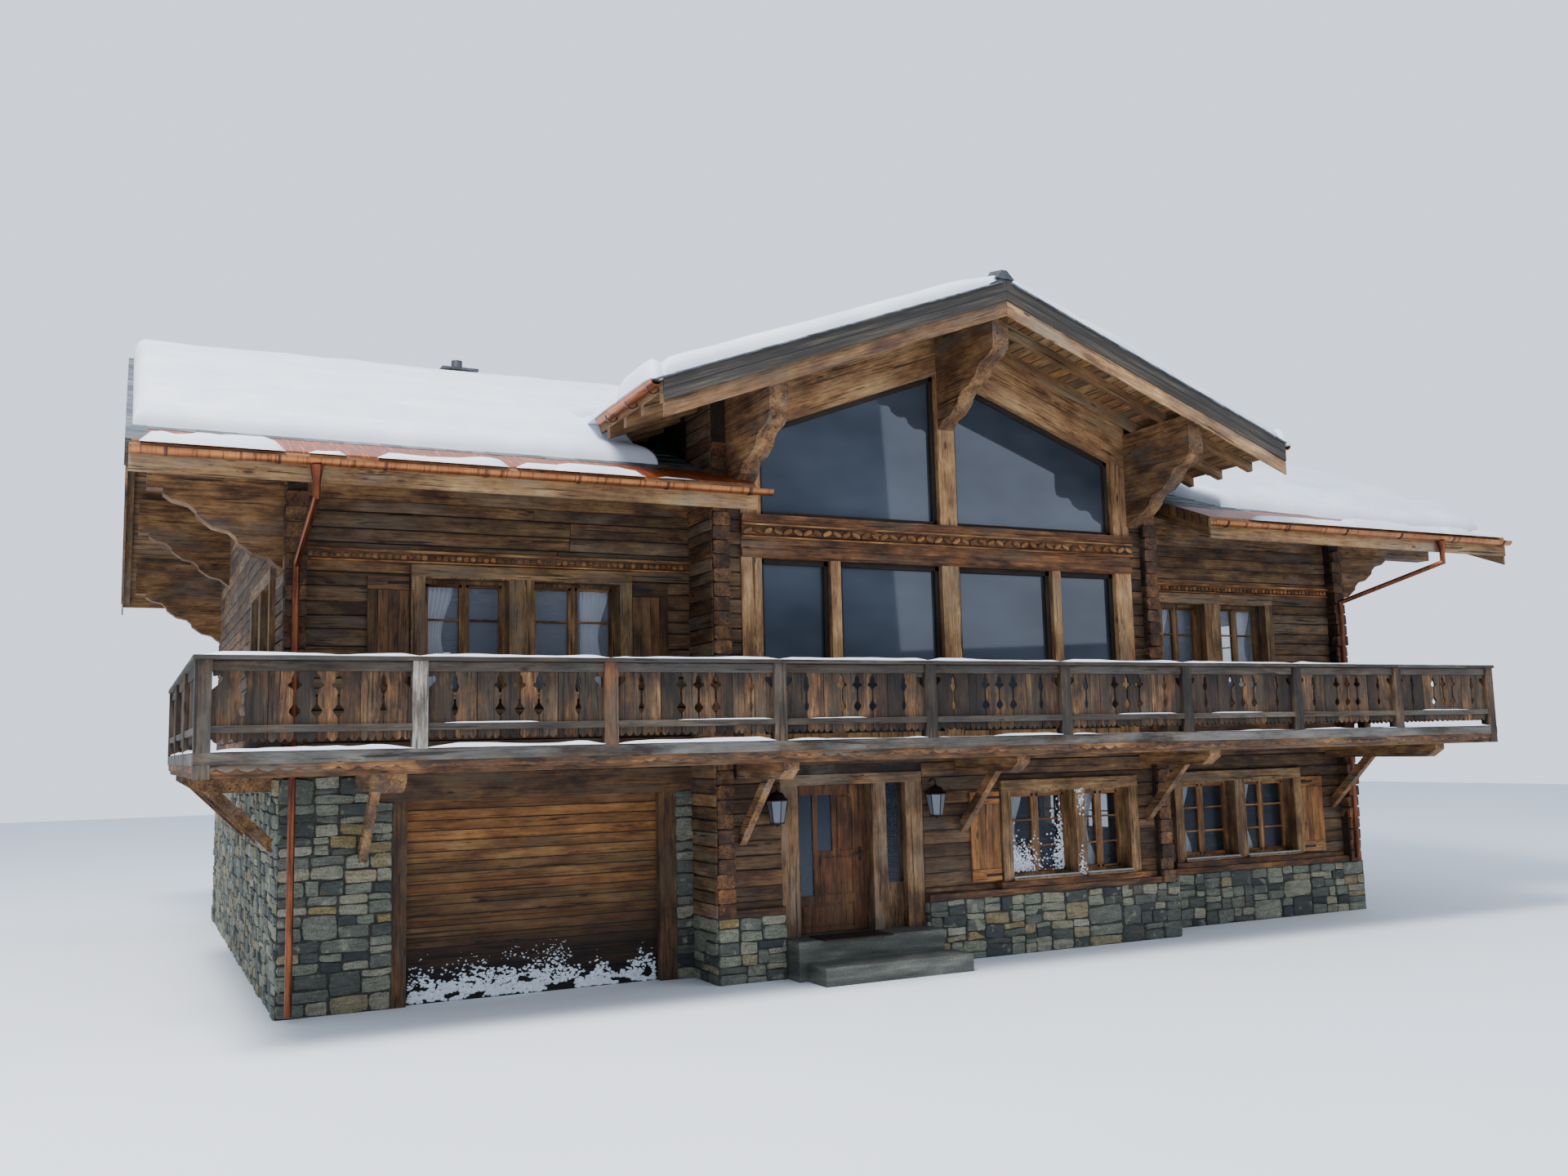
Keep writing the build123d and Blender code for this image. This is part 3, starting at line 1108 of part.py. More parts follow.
def fretwork_bay(x0, x1):
    """The boards of one bay as an outline with its cut-outs, standing in X and Z."""
    top = RAIL_CAP_TOP - RAIL_CAP_HIGH - RAIL_BEAM_HIGH
    edge = scallops(x0, x1, BOARD_BOTTOM, SCALLOP_WIDE, SCALLOP_HIGH)
    boards = make_face(Polyline(*(edge + [(x1, top), (x0, top)]), close=True))
    base = (MID_RAIL_BOTTOM + MID_RAIL_HIGH + top - FRET_HIGH) / 2
    for share in FRET_VASES:
        boards -= make_face(Polyline(*vase_points(x0 + share * (x1 - x0), base), close=True))
    for share in FRET_SLITS:
        boards -= make_face(Polyline(*slit_points(x0 + share * (x1 - x0), base), close=True))
    heart = top - 1.4 * HEART_HIGH
    for x, side in ((x0, 1), (x1, -1)):
        boards -= make_face(Polyline(*half_heart_points(x, heart, side), close=True))
    return boards


def balustrade(start, end, bays, first_post, last_post):
    """One straight side of the balustrade, drawn along X with its outer side towards -Y."""
    posts = balcony_stations(start, end, bays)
    half = RAIL_POST / 2
    beam_top = RAIL_CAP_TOP - RAIL_CAP_HIGH
    beam_low = beam_top - RAIL_BEAM_HIGH
    x0 = start - half if first_post else start + half
    x1 = end + half if last_post else end - half
    cap_over = (RAIL_CAP_WIDE - RAIL_POST) / 2
    cap_x0 = x0 - cap_over if first_post else start + half + cap_over
    cap_x1 = x1 + cap_over if last_post else end - half - cap_over
    side = box(cap_x0, cap_x1, -RAIL_CAP_WIDE / 2, RAIL_CAP_WIDE / 2, beam_top, RAIL_CAP_TOP)
    side += box(x0, x1, -RAIL_BEAM_WIDE / 2, RAIL_BEAM_WIDE / 2, beam_low, beam_top)
    side += box(x0, x1, -RAIL_BEAM_WIDE / 2, -BOARD_THICK / 2, MID_RAIL_BOTTOM, MID_RAIL_BOTTOM + MID_RAIL_HIGH)
    for index, x in enumerate(posts):
        if (index == 0 and not first_post) or (index == bays and not last_post):
            continue
        side += box(x - half, x + half, -half, half, UPPER_FLOOR_TOP, beam_top)
    for a, b in zip(posts, posts[1:]):
        boards = fretwork_bay(a + half, b - half)
        side += extrude(Plane.XZ.offset(-BOARD_THICK / 2) * boards, amount=BOARD_THICK)
    return side


def make_balustrades():
    """The balustrade along the front, with its corner posts, and the two returns."""
    y = BALCONY_FRONT + RAIL_POST / 2
    x0 = BALCONY_LEFT + RAIL_POST / 2
    x1 = BALCONY_RIGHT - RAIL_POST / 2
    front = Pos(0, y, 0) * balustrade(x0, x1, BALCONY_BAYS, True, True)
    deep = BALCONY_BACK - RAIL_POST / 2 - y
    run = balustrade(0, deep, BALCONY_SIDE_BAYS, False, True)
    turned = Rot(0, 0, 90) * run
    left = Pos(x0, y, 0) * mirror(turned, about=Plane.YZ)
    right = Pos(x1, y, 0) * turned
    return front, left, right


def make_deck():
    """The balcony deck round the front and both sides, and its scalloped edge board."""
    z0 = UPPER_FLOOR_TOP - DECK_THICK
    z1 = UPPER_FLOOR_TOP
    deck = box(BALCONY_LEFT, BALCONY_RIGHT, BALCONY_FRONT, BALCONY_BACK, z0, z1)
    deck -= box(HOUSE_LEFT, HOUSE_RIGHT, FRONT, FAR, z0, z1)
    deck -= box(-CENTRE_HALF, CENTRE_HALF, CENTRE_FRONT, FAR, z0, z1)
    for x0, x1 in ((-CENTRE_HALF, -CENTRE_HALF + LOG_THICK), (CENTRE_HALF - LOG_THICK, CENTRE_HALF)):
        deck -= box(x0, x1, CENTRE_FRONT - PLINTH_OUT, CENTRE_FRONT, z0, z1)
    for x0, x1 in ((HOUSE_LEFT, HOUSE_LEFT + LOG_THICK), (HOUSE_RIGHT - LOG_THICK, HOUSE_RIGHT)):
        deck -= box(x0, x1, FRONT - LOG_END_OUT, FRONT, z0, z1)
    return deck


def edge_beam(x0, x1, out):
    """The beam under the deck's edge with a scalloped board on its face, drawn along X.
    The beam's outer face is at y = 0, and out is the way that it looks, -1 or 1."""
    top = UPPER_FLOOR_TOP - DECK_THICK
    beam = box(x0, x1, *sorted((0, -out * EDGE_BEAM_THICK)), top - EDGE_BEAM_HIGH, top)
    edge = scallops(x0, x1, top - EDGE_BOARD_DROP, EDGE_SCALLOP_WIDE, EDGE_SCALLOP_HIGH)
    return beam + along_y(edge + [(x1, top), (x0, top)], *sorted((0, out * EDGE_BOARD_THICK)))


def make_fascia():
    """The edge beams under the deck, along the front and both sides."""
    y = BALCONY_FRONT + DECK_EDGE_IN
    x0 = BALCONY_LEFT + DECK_EDGE_IN
    x1 = BALCONY_RIGHT - DECK_EDGE_IN
    inner = y + EDGE_BEAM_THICK
    front = Pos(0, y, 0) * edge_beam(x0, x1, -1)
    left = Pos(x0, 0, 0) * Rot(0, 0, 90) * edge_beam(inner, BALCONY_BACK, 1)
    right = Pos(x1, 0, 0) * Rot(0, 0, 90) * edge_beam(inner, BALCONY_BACK, -1)
    return front + left + right


def bracket_outline(reach):
    """A cantilever beam with a brace under it, from the wall at 0 out to its reach."""
    top = UPPER_FLOOR_TOP - DECK_THICK
    low = top - BRACKET_BEAM_HIGH
    end = min(BRACE_REACH, reach - 2 * BRACE_HIGH)
    drop = min(BRACE_DROP, end)
    beam = [(0, top), (reach, top), (reach, low + BRACKET_BEAM_HIGH / 3), (reach - BRACE_HIGH, low), (0, low)]
    brace = [(end, low), (0, low - drop), (0, low - drop - BRACE_HIGH), (end + BRACE_HIGH, low)]
    return beam, brace


def make_brackets():
    """Braced beams that carry the balcony, along the front and on both sides."""
    half = BRACKET_WIDE / 2
    front_reach = DECK_EDGE_IN + EDGE_BEAM_THICK
    front = []
    for x in BRACKET_XS:
        wall = CENTRE_FRONT if abs(x) < CENTRE_HALF else FRONT
        beam, brace = bracket_outline(wall - BALCONY_FRONT - front_reach)
        arm = along_x([(wall - d, z) for d, z in beam], x - half, x + half)
        arm += along_x([(wall - d, z) for d, z in brace], x - half / 2, x + half / 2)
        front.append(arm)
    sides = []
    for y in BRACKET_YS:
        for wall, edge, out in ((HOUSE_LEFT, BALCONY_LEFT, -1), (HOUSE_RIGHT, BALCONY_RIGHT, 1)):
            beam, brace = bracket_outline(abs(edge - wall) - front_reach)
            arm = along_y([(wall + out * d, z) for d, z in beam], y - half, y + half)
            arm += along_y([(wall + out * d, z) for d, z in brace], y - half / 2, y + half / 2)
            sides.append(arm)
    return front + sides


def add_windows(nodes):
    """Window frames and panes: a node of each for the front, the sides and the back."""
    rows = {
        "front": [window_row_x(GROUND_CENTRE, GROUND_SILL, GROUND_HEAD, CENTRE_FRONT, -1),
                  window_row_x(GROUND_WING, GROUND_SILL, GROUND_HEAD, FRONT, -1),
                  window_row_x(UPPER_LEFT, UPPER_SILL, UPPER_HEAD, FRONT, -1),
                  window_row_x(UPPER_RIGHT, UPPER_SILL, UPPER_HEAD, FRONT, -1)],
        "side": [window_row_y(SIDE_WINDOWS, UPPER_SILL, UPPER_HEAD, HOUSE_LEFT, -1),
                 window_row_y(SIDE_WINDOWS, UPPER_SILL, UPPER_HEAD, HOUSE_RIGHT, 1),
                 window_row_y(SIDE_GROUND_WINDOWS, GROUND_SILL, GROUND_HEAD, HOUSE_RIGHT, 1)],
        "back": [window_row_x(BACK_WINDOWS, UPPER_SILL, UPPER_HEAD, BACK, 1)],
    }
    for name, row in rows.items():
        nodes[f"{name}_windows"] = Compound(children=[frames for frames, panes in row])
        nodes[f"{name}_glass"] = [pane for frames, panes in row for pane in panes]
    for name in ("side_glass", "back_glass"):
        nodes[name] = Compound(children=nodes[name])


def save(name, shape):
    """Writes one node."""
    export_step(shape, f"parts/{name}.step")


def main():
    """Builds every node and writes it."""
    os.makedirs("parts", exist_ok=True)
    purlins = make_purlins()
    gable_purlins = make_gable_purlins()
    nodes = {}
    nodes["garage_floor"], nodes["ground_floor"], nodes["upper_floor"] = make_floors()
    nodes["garage_stone"], nodes["garage_frame"], nodes["garage_door"] = make_garage()
    nodes["side_wall_stone"], nodes["plinth_front"], nodes["plinth_side"], nodes["plinth_back"] = \
        make_stone()
    nodes["wall_left_of_entrance"], nodes["wall_right_of_entrance"], nodes["wall_over_entrance"] = \
        make_centre_ground()
    nodes["front_wall_left"], nodes["front_wall_right"] = make_wing_walls()
    nodes["gable_wall_left"], nodes["gable_wall_right"] = [wall - purlins for wall in make_gable_walls()]
    nodes["back_wall"] = make_back_wall()
    slopes = [gable_slope(-1), gable_slope(1)]
    pier_left, pier_right = [pier - gable_purlins - purlins - slope
                             for pier, slope in zip(make_centre_piers(), slopes)]
    nodes["centre_piers"] = Compound(children=[pier_left, pier_right])
    nodes["centre_posts"], nodes["carved_band"], head = make_centre_frame()
    nodes["gable_frame"] = head - gable_purlins
    nodes["centre_glass"] = make_centre_glass()
    roof_left, roof_right, roof_back = make_main_roof()
    hole = chimney_hole()
    nodes["roof_front_left"] = roof_left - pier_left - gable_purlins
    nodes["roof_front_right"] = roof_right - pier_right - gable_purlins
    nodes["roof_back"] = roof_back - hole
    nodes["gable_roof_left"], nodes["gable_roof_right"] = slopes
    nodes["purlins"] = purlins
    nodes["gable_purlins"] = gable_purlins
    nodes["verge_boards"] = make_verge_boards()
    nodes["eave_boards"] = make_eave_boards()
    nodes["gutters"] = make_gutters()
    nodes["downpipes"] = make_downpipes()
    nodes["chimney"] = make_chimney()
    nodes["roof_snow_main"] = Compound(children=make_snow())
    nodes["roof_snow_gable"] = make_gable_snow()
    add_windows(nodes)
    nodes["shutters"] = make_shutters()
    nodes["entrance_frame"], pane, nodes["entrance_step"] = make_entrance()
    nodes["front_glass"] = Compound(children=nodes["front_glass"] + [pane])
    leaf, nodes["front_door_glass"] = make_door()
    nodes["door_hinges"], knuckles = make_hinges()
    nodes["front_door_leaf"] = joined([leaf] + knuckles)
    nodes["front_door_handle"] = make_handle()
    nodes["lanterns"] = make_lanterns()
    nodes["balcony_deck"] = make_deck()
    nodes["balcony_fascia"] = make_fascia()
    nodes["balcony_brackets"] = Compound(children=make_brackets())
    nodes["balustrade_front"], nodes["balustrade_left"], nodes["balustrade_right"] = make_balustrades()
    for name, shape in nodes.items():
        save(name, shape)


main()
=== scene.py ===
import bmesh
import bpy
import math
import random
from mathutils import Matrix, Vector, noise


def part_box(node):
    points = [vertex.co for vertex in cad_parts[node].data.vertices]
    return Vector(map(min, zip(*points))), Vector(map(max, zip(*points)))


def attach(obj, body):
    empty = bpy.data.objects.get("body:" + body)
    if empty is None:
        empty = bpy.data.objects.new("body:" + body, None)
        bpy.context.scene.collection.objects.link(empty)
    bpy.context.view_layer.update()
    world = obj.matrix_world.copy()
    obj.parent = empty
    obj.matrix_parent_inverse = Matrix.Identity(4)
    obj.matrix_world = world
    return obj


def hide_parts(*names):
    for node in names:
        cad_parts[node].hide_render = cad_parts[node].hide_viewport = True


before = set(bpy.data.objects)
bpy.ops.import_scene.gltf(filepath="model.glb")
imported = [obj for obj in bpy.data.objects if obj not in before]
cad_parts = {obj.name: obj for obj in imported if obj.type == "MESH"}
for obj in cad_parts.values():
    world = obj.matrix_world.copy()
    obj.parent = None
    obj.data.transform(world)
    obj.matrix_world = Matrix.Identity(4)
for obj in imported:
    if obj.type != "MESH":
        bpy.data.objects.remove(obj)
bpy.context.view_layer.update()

# Faces and levels of the house, in metres, from the built parts
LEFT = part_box("gable_wall_left")[0].x
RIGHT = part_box("gable_wall_right")[1].x
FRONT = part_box("front_wall_left")[0].y
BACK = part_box("back_wall")[1].y
CENTRE_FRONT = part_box("wall_over_entrance")[0].y
CENTRE_HALF = 3.75
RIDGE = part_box("roof_back")[1].z
PITCH = 0.404
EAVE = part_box("roof_back")[1].y
VERGE_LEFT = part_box("roof_front_left")[0].x
VERGE_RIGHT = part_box("roof_front_right")[1].x
GABLE_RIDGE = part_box("gable_roof_left")[1].z
GABLE_PITCH = 0.37
GABLE_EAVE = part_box("gable_roof_right")[1].x
GABLE_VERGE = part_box("gable_roof_left")[0].y
STONE_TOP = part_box("side_wall_stone")[1].z
PLINTH_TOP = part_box("plinth_side")[1].z
UPPER_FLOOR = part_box("upper_floor")[1].z
LOG_COURSE = 0.185
LOG_PROUD = 0.016
LOG_FACE_DEEP = 0.05
WALL_THICK = 0.24
PLINTH_OUT = 0.1
SLATE_DECK = 0.16
ROOF_DEEP = 0.30
FAR = 60.0

# Window holes: edges along the wall, as in the built walls
GROUND_CENTRE = [(0.83, 2.00), (2.15, 3.01)]
GROUND_WING = [(4.67, 5.82), (6.00, 7.14)]
UPPER_LEFT = [(-7.32, -6.23), (-5.94, -4.75)]
UPPER_RIGHT = [(4.45, 5.40), (5.70, 6.75)]
SIDE_UPPER = [(-4.70, -3.60), (-3.37, -2.27)]
SIDE_GROUND = [(0.50, 1.60), (1.83, 2.93)]
BACK_UPPER = [(-6.90, -5.80), (-5.57, -4.47), (-0.55, 0.55), (4.30, 5.40), (5.63, 6.73)]
GROUND_LEVELS = (1.03, 2.28)
UPPER_LEVELS = (3.70, 5.18)
FRAME_SETBACK = 0.14
FRAME_DEEP = 0.09
FRAME_WIDE = 0.06
MULLION_WIDE = 0.05
GARAGE_POSTS = (-7.65, -4.00)
GARAGE_HEAD = 2.43
ENTRANCE = (-2.79, -0.60)
ENTRANCE_TOP = 2.60
PANE_POSTS = (-3.0, -1.95, -1.8, -0.145, 0.145, 1.8, 1.95, 3.0)
GABLE_HEAD_DEEP = 0.84

# Balcony
BALCONY_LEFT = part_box("balcony_deck")[0].x
BALCONY_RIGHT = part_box("balcony_deck")[1].x
BALCONY_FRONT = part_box("balcony_deck")[0].y
BALCONY_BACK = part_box("balcony_deck")[1].y
RAIL_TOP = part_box("balustrade_front")[1].z
DECK_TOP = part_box("balcony_deck")[1].z
RAIL_BOTTOM = DECK_TOP + 0.095
EDGE_BOARD_LOW = DECK_TOP - 0.20
RAIL_POST = 0.16
DECK_MARGIN = 0.04
FRONT_DECK_DEEP = 1.58
FRONT_PLANKS = 11
SIDE_PLANKS = 7
PLANK_GAP = 0.006
PLANK_THICK = 0.02
FRONT_BAYS = 9
SIDE_BAYS = 3
# Width and height of the rails
RAIL_CAP = (0.2, 0.05)
RAIL_BEAM = (0.09, 0.108)
MIDDLE_RAIL = (0.05, 0.075)

# Fretwork: board edges as shares of a bay, and half outlines of the cut-outs as (height, width) shares
SLAT_SHARES = (0.0, 0.15, 0.27, 0.40, 0.51, 0.62, 0.73, 0.85, 1.0)
SLAT_EDGES = ("heart", "slit", "plain", "vase", "vase", "vase", "plain", "slit", "heart")
VASE = ((0.00, 0.08), (0.05, 0.45), (0.11, 0.80), (0.17, 0.80), (0.24, 0.40), (0.30, 0.14), (0.60, 0.14),
        (0.66, 0.40), (0.71, 1.0), (0.76, 1.0), (0.81, 0.45), (0.88, 0.50), (0.95, 0.30), (1.0, 0.0))
SLIT = ((0.00, 0.0), (0.08, 0.6), (0.18, 0.75), (0.27, 0.25), (0.52, 0.15), (0.60, 0.6), (0.70, 1.0),
        (0.79, 0.5), (0.88, 0.6), (1.0, 0.0))
HEART = ((0.0, 0.0), (0.25, 0.42), (0.55, 0.88), (0.78, 1.0), (0.95, 0.72), (0.86, 0.08))
# Each cut-out's outline, half width, height and how far up it starts
CUTS = {"vase": (VASE, 0.062, 0.45, 0.0), "slit": (SLIT, 0.040, 0.45, 0.0),
        "heart": (HEART, 0.10, 0.15, 0.29)}
SLAT_GAP = 0.005
SLAT_THICK = 0.03
TOOTH = ((0.22, 0.35), (0.5, 0.0), (0.78, 0.35), (1.0, 1.0))
TOOTH_WIDE = 0.085
TOOTH_HIGH = 0.045
WAVE_WIDE = 0.19

# Snow: thickness, how far it stops short of the eave, and the valley between the two roofs
SNOW_THICK = 0.38
GABLE_SNOW_THICK = 0.24
SNOW_BACK = 0.92
RIDGE_SOFT = 0.5
VALLEY_SLOPE = 0.916
VALLEY_END = -4.48
SNOW_ROWS = 46
SNOW_COLUMNS = 56
DOOR_CRUMBS = 2100
PANE_CRUMBS = 900
POST_CRUMBS = 120

# Where the bare slates and the copper apron end beside the cross gable
SLATES_LEFT_END = -3.45
SLATES_RIGHT_START = 4.45
SLATES_BACK = -4.55
APRON_LEFT_END = -3.37
APRON_RIGHT_START = 4.36

# Gutter brackets
BRACKET_OUTER = 0.086
BRACKET_INNER = 0.074
BRACKET_WIDE = 0.034

UPRIGHT = (0, -math.pi / 2, 0)
QUARTER = {"x": 0, "y": math.pi / 2}
GRAINS = {"x": (0.0, 0.0, 0.0), "y": (0.0, 0.0, -math.pi / 2), "z": (0.0, math.pi / 2, 0.0)}
SEED = 11


def tone(code):
    """A colour written as six hex digits, as linear light."""
    parts = [int(code[i:i + 2], 16) / 255 for i in (0, 2, 4)]
    linear = [p / 12.92 if p <= 0.04045 else ((p + 0.055) / 1.055) ** 2.4 for p in parts]
    return (*linear, 1.0)


def wired(tree, kind, inputs=None, **settings):
    """Adds a node with its settings, and gives each named input a link or a value. A colour may be hex
    digits."""
    node = tree.nodes.new(kind)
    for key, value in settings.items():
        setattr(node, key, value)
    for name, value in (inputs or {}).items():
        socket = node.inputs[name]
        if isinstance(value, bpy.types.NodeSocket):
            tree.links.new(value, socket)
        else:
            socket.default_value = tone(value) if socket.type == "RGBA" and isinstance(value, str) else value
    return node


class Recipe:
    """One finish, wired node by node."""

    MIX_SOCKETS = {"FLOAT": (2, 3, 0), "VECTOR": (4, 5, 1), "RGBA": (6, 7, 2)}

    def __init__(self, name, roughness, surface=None):
        self.finish = bpy.data.materials.new(name)
        self.finish.use_nodes = True
        self.tree = self.finish.node_tree
        self.inputs = self.tree.nodes["Principled BSDF"].inputs
        for title, value in {"Roughness": roughness, **(surface or {})}.items():
            self.inputs[title].default_value = value
        self.place = self.add("ShaderNodeTexCoord").outputs["Object"]
        self.tint = self.add("ShaderNodeAttribute", attribute_name="tint").outputs["Fac"]

    def add(self, kind, inputs=None, **settings):
        return wired(self.tree, kind, inputs, **settings)

    def math(self, operation, a, b=0.0, c=0.0):
        return self.add("ShaderNodeMath", {0: a, 1: b, 2: c}, operation=operation).outputs[0]

    def times(self, a, b):
        return self.math("MULTIPLY", a, b)

    def times_plus(self, a, b, c):
        return self.math("MULTIPLY_ADD", a, b, c)

    def split(self, source=None):
        return self.add("ShaderNodeSeparateXYZ", {0: source or self.place}).outputs

    def joined(self, x=0.0, y=0.0, z=0.0):
        return self.add("ShaderNodeCombineXYZ", {0: x, 1: y, 2: z}).outputs[0]

    def moved(self, where, x=0.0, y=0.0, z=0.0):
        shift = self.joined(x, y, z)
        return self.add("ShaderNodeVectorMath", {0: where, 1: shift}, operation="ADD").outputs[0]

    def turned(self, axis):
        """The place, turned so that the given axis lies along X."""
        return self.add("ShaderNodeMapping", {"Vector": self.place, "Rotation": GRAINS[axis]}).outputs[0]

    def scaled(self, where, scale, shift=(0, 0, 0)):
        return self.add("ShaderNodeMapping", {"Vector": where, "Scale": scale, "Location": shift}).outputs[0]

    def noise(self, where, scale, detail=4.0, roughness=0.55, shift=(0, 0, 0)):
        """Noise of one scale, or with a scale for each axis."""
        if isinstance(scale, tuple):
            where, scale = self.scaled(where, scale, shift), 1.0
        return self.add("ShaderNodeTexNoise", {"Vector": where, "Scale": scale, "Detail": detail,
                                               "Roughness": roughness}).outputs["Fac"]

    def ramp(self, value, *stops):
        """A ramp through (position, grey, hex digits or colour) stops."""
        node = self.add("ShaderNodeValToRGB", {"Fac": value})
        elements = node.color_ramp.elements
        while len(elements) < len(stops):
            elements.new(0.5)
        for element, (position, colour) in zip(elements, stops):
            if isinstance(colour, float):
                colour = (colour, colour, colour, 1.0)
            element.position = position
            element.color = tone(colour) if isinstance(colour, str) else colour
        return node.outputs["Color"]

    def mix(self, kind, share, a, b, mode="MIX"):
        first, second, out = self.MIX_SOCKETS[kind]
        return self.add("ShaderNodeMix", {0: share, first: a, second: b}, data_type=kind,
                        blend_type=mode).outputs[out]

    def blend(self, share, a, b, mode="MIX"):
        return self.mix("RGBA", share, a, b, mode)

    def scale_colour(self, colour, share):
        return self.add("ShaderNodeVectorMath", {0: colour, 3: share}, operation="SCALE").outputs[0]

    def spread(self, value, source, target):
        return self.add("ShaderNodeMapRange", {"Value": value, "From Min": source[0], "From Max": source[1],
                                               "To Min": target[0], "To Max": target[1]}).outputs[0]

    def height(self, value, distance, strength=1.0):
        bump = self.add("ShaderNodeBump", {"Height": value, "Distance": distance, "Strength": strength})
        self.tree.links.new(bump.outputs[0], self.inputs["Normal"])

    def rough(self, value, low, high):
        self.tree.links.new(self.spread(value, (0.0, 1.0), (low, high)), self.inputs["Roughness"])

    def colour(self, value):
        self.tree.links.new(value, self.inputs["Base Color"])
        return self.finish


KNOT = "1d110a"
JOINT = "0e0a07"
PLAIN_TINT = 0.07
BOARD_PITCH = 0.165


def grown(r, own, tint, stops, weather, weather_share, contrast=1.0, lift=None, variety=0.8):
    """Old softwood along X of own: long grain, fibres, splits, knots, and a weathered bloom over part of it.
    tint tells pieces apart, lift brightens them and variety says how much. Returns the colour, the relief and
    the fibres."""
    own = r.moved(own, r.times(tint, 37.0), r.times(tint, 91.0), r.times(tint, 53.0))
    sway = r.noise(own, (0.9, 1.6, 1.6), 2.0)
    swayed = r.moved(own, 0.0, r.times(sway, 0.03), r.times(sway, 0.05))
    cells = {"Vector": r.scaled(swayed, (1.3, 4.2, 4.2)), "Scale": 1.0}
    knots = r.add("ShaderNodeTexVoronoi", cells).outputs["Distance"]
    knot_mask = r.ramp(knots, (0.05, 1.0), (0.10, 0.0))
    pulled = r.times(r.ramp(knots, (0.0, 1.0), (0.30, 0.0)), 0.025)
    swayed = r.moved(swayed, 0.0, pulled, pulled)
    figure = r.noise(swayed, (1.9, 40, 40), 6.0, 0.7)
    fibre = r.noise(swayed, (6, 190, 190), 3.0, 0.6)
    cracks = [r.ramp(r.noise(swayed, scale, 2.0, 0.5, shift), (edge, 0.0), (edge + 0.02, 1.0))
              for scale, shift, edge in (((0.7, 26, 26), (7, 3, 1), 0.33), ((2.6, 60, 60), (2, 8, 5), 0.31))]
    splits = r.blend(1.0, *cracks, "MULTIPLY")
    hue = r.noise(own, (1.6, 4, 4), 5.0, 0.65, (1, 5, 2))
    share = r.times_plus(r.math("SUBTRACT", hue, 0.5), 0.6, r.times_plus(figure, 0.42, 0.29))
    base = r.ramp(share, *zip((0.32, 0.45, 0.55, 0.68), stops))
    bloom = r.noise(own, (0.7, 2.4, 2.4), 5.0, 0.65, (3, 9, 4))
    edge = 0.5 + (0.5 - weather_share) * 0.4
    bloom_mask = r.ramp(bloom, (edge - 0.10, 0.0), (edge + 0.10, 1.0))
    base = r.blend(r.times(bloom_mask, 0.8), base, r.blend(figure, *weather))
    cast = r.ramp(r.math("FRACT", r.times(tint, 7.3)), (0.0, (1.0, 0.84, 0.68, 1.0)), (0.5, 1.0),
                  (1.0, (0.88, 0.91, 0.92, 1.0)))
    base = r.blend(0.85, base, cast, "MULTIPLY")
    shade = r.times_plus(fibre, 0.9 * contrast, 1.0 - 0.45 * contrast)
    lifted = r.times_plus(tint if lift is None else lift, variety, 1.05 - variety / 2)
    base = r.scale_colour(base, r.times(shade, lifted))
    base = r.blend(r.times(knot_mask, 0.8), base, KNOT)
    base = r.blend(splits, r.scale_colour(base, 0.25), base)
    relief = r.times_plus(figure, 0.6, r.times(fibre, 0.25))
    relief = r.math("ADD", relief, r.times(r.add("ShaderNodeRGBToBW", {0: splits}).outputs[0], 0.5))
    return base, relief, fibre


def board_rows(r, where, pitch):
    """Board rows across a coordinate: a tint for each row and a mask that is 0 in the joints."""
    row = r.math("DIVIDE", where, pitch)
    tint = r.add("ShaderNodeTexWhiteNoise", {1: r.math("FLOOR", row)}, noise_dimensions="1D").outputs["Value"]
    return tint, r.ramp(r.math("FRACT", row), (0.06, 0.0), (0.15, 1.0))


def timber(name, stops, weather, weather_share, grain=None, contrast=1.0, foot=None, rows=None, across=None,
           levels=(), variety=0.8):
    """A timber finish. Without a grain axis it follows each piece's own length. Between each pair of levels
    the grain runs along the across axis. foot is the (low, high, colour) of a foot darkened with painted
    shade, and rows the (axis, pitch) of its boards."""
    r = Recipe(name, 0.82)
    place = r.split()
    tint = r.tint
    lift = None
    if grain:
        own = r.turned(grain)
        for low, high in levels:
            inside = r.times(r.math("GREATER_THAN", place["Z"], low), r.math("LESS_THAN", place["Z"], high))
            own = r.mix("VECTOR", inside, own, r.turned(across))
        tint = PLAIN_TINT
        lift = r.noise(r.place, 0.7, 1.0)
    else:
        own = r.add("ShaderNodeAttribute", attribute_name="own").outputs["Vector"]
    if rows:
        tint, joint = board_rows(r, place[rows[0]], rows[1])
        lift = tint
    base, relief, fibre = grown(r, own, tint, stops, weather, weather_share, contrast, lift, variety)
    if rows:
        base = r.blend(joint, JOINT, base)
    # The foot darkens the boards towards the bottom: painted shade
    if foot:
        wave = r.math("ADD", place["Z"], r.noise(r.place, (0.5, 0.5, 2), 3.0))
        base = r.blend(r.spread(wave, (foot[0] + 0.5, foot[1] + 0.5), (1.0, 0.0)), base, foot[2], "MULTIPLY")
    r.height(relief, 0.014, 0.8)
    r.rough(fibre, 0.72, 0.92)
    return r.colour(base)


def depth_under(r, along, pitch, ridge, z):
    """How far a place lies below a roof's upper face."""
    return r.math("SUBTRACT", r.times_plus(along, -pitch, ridge), z)


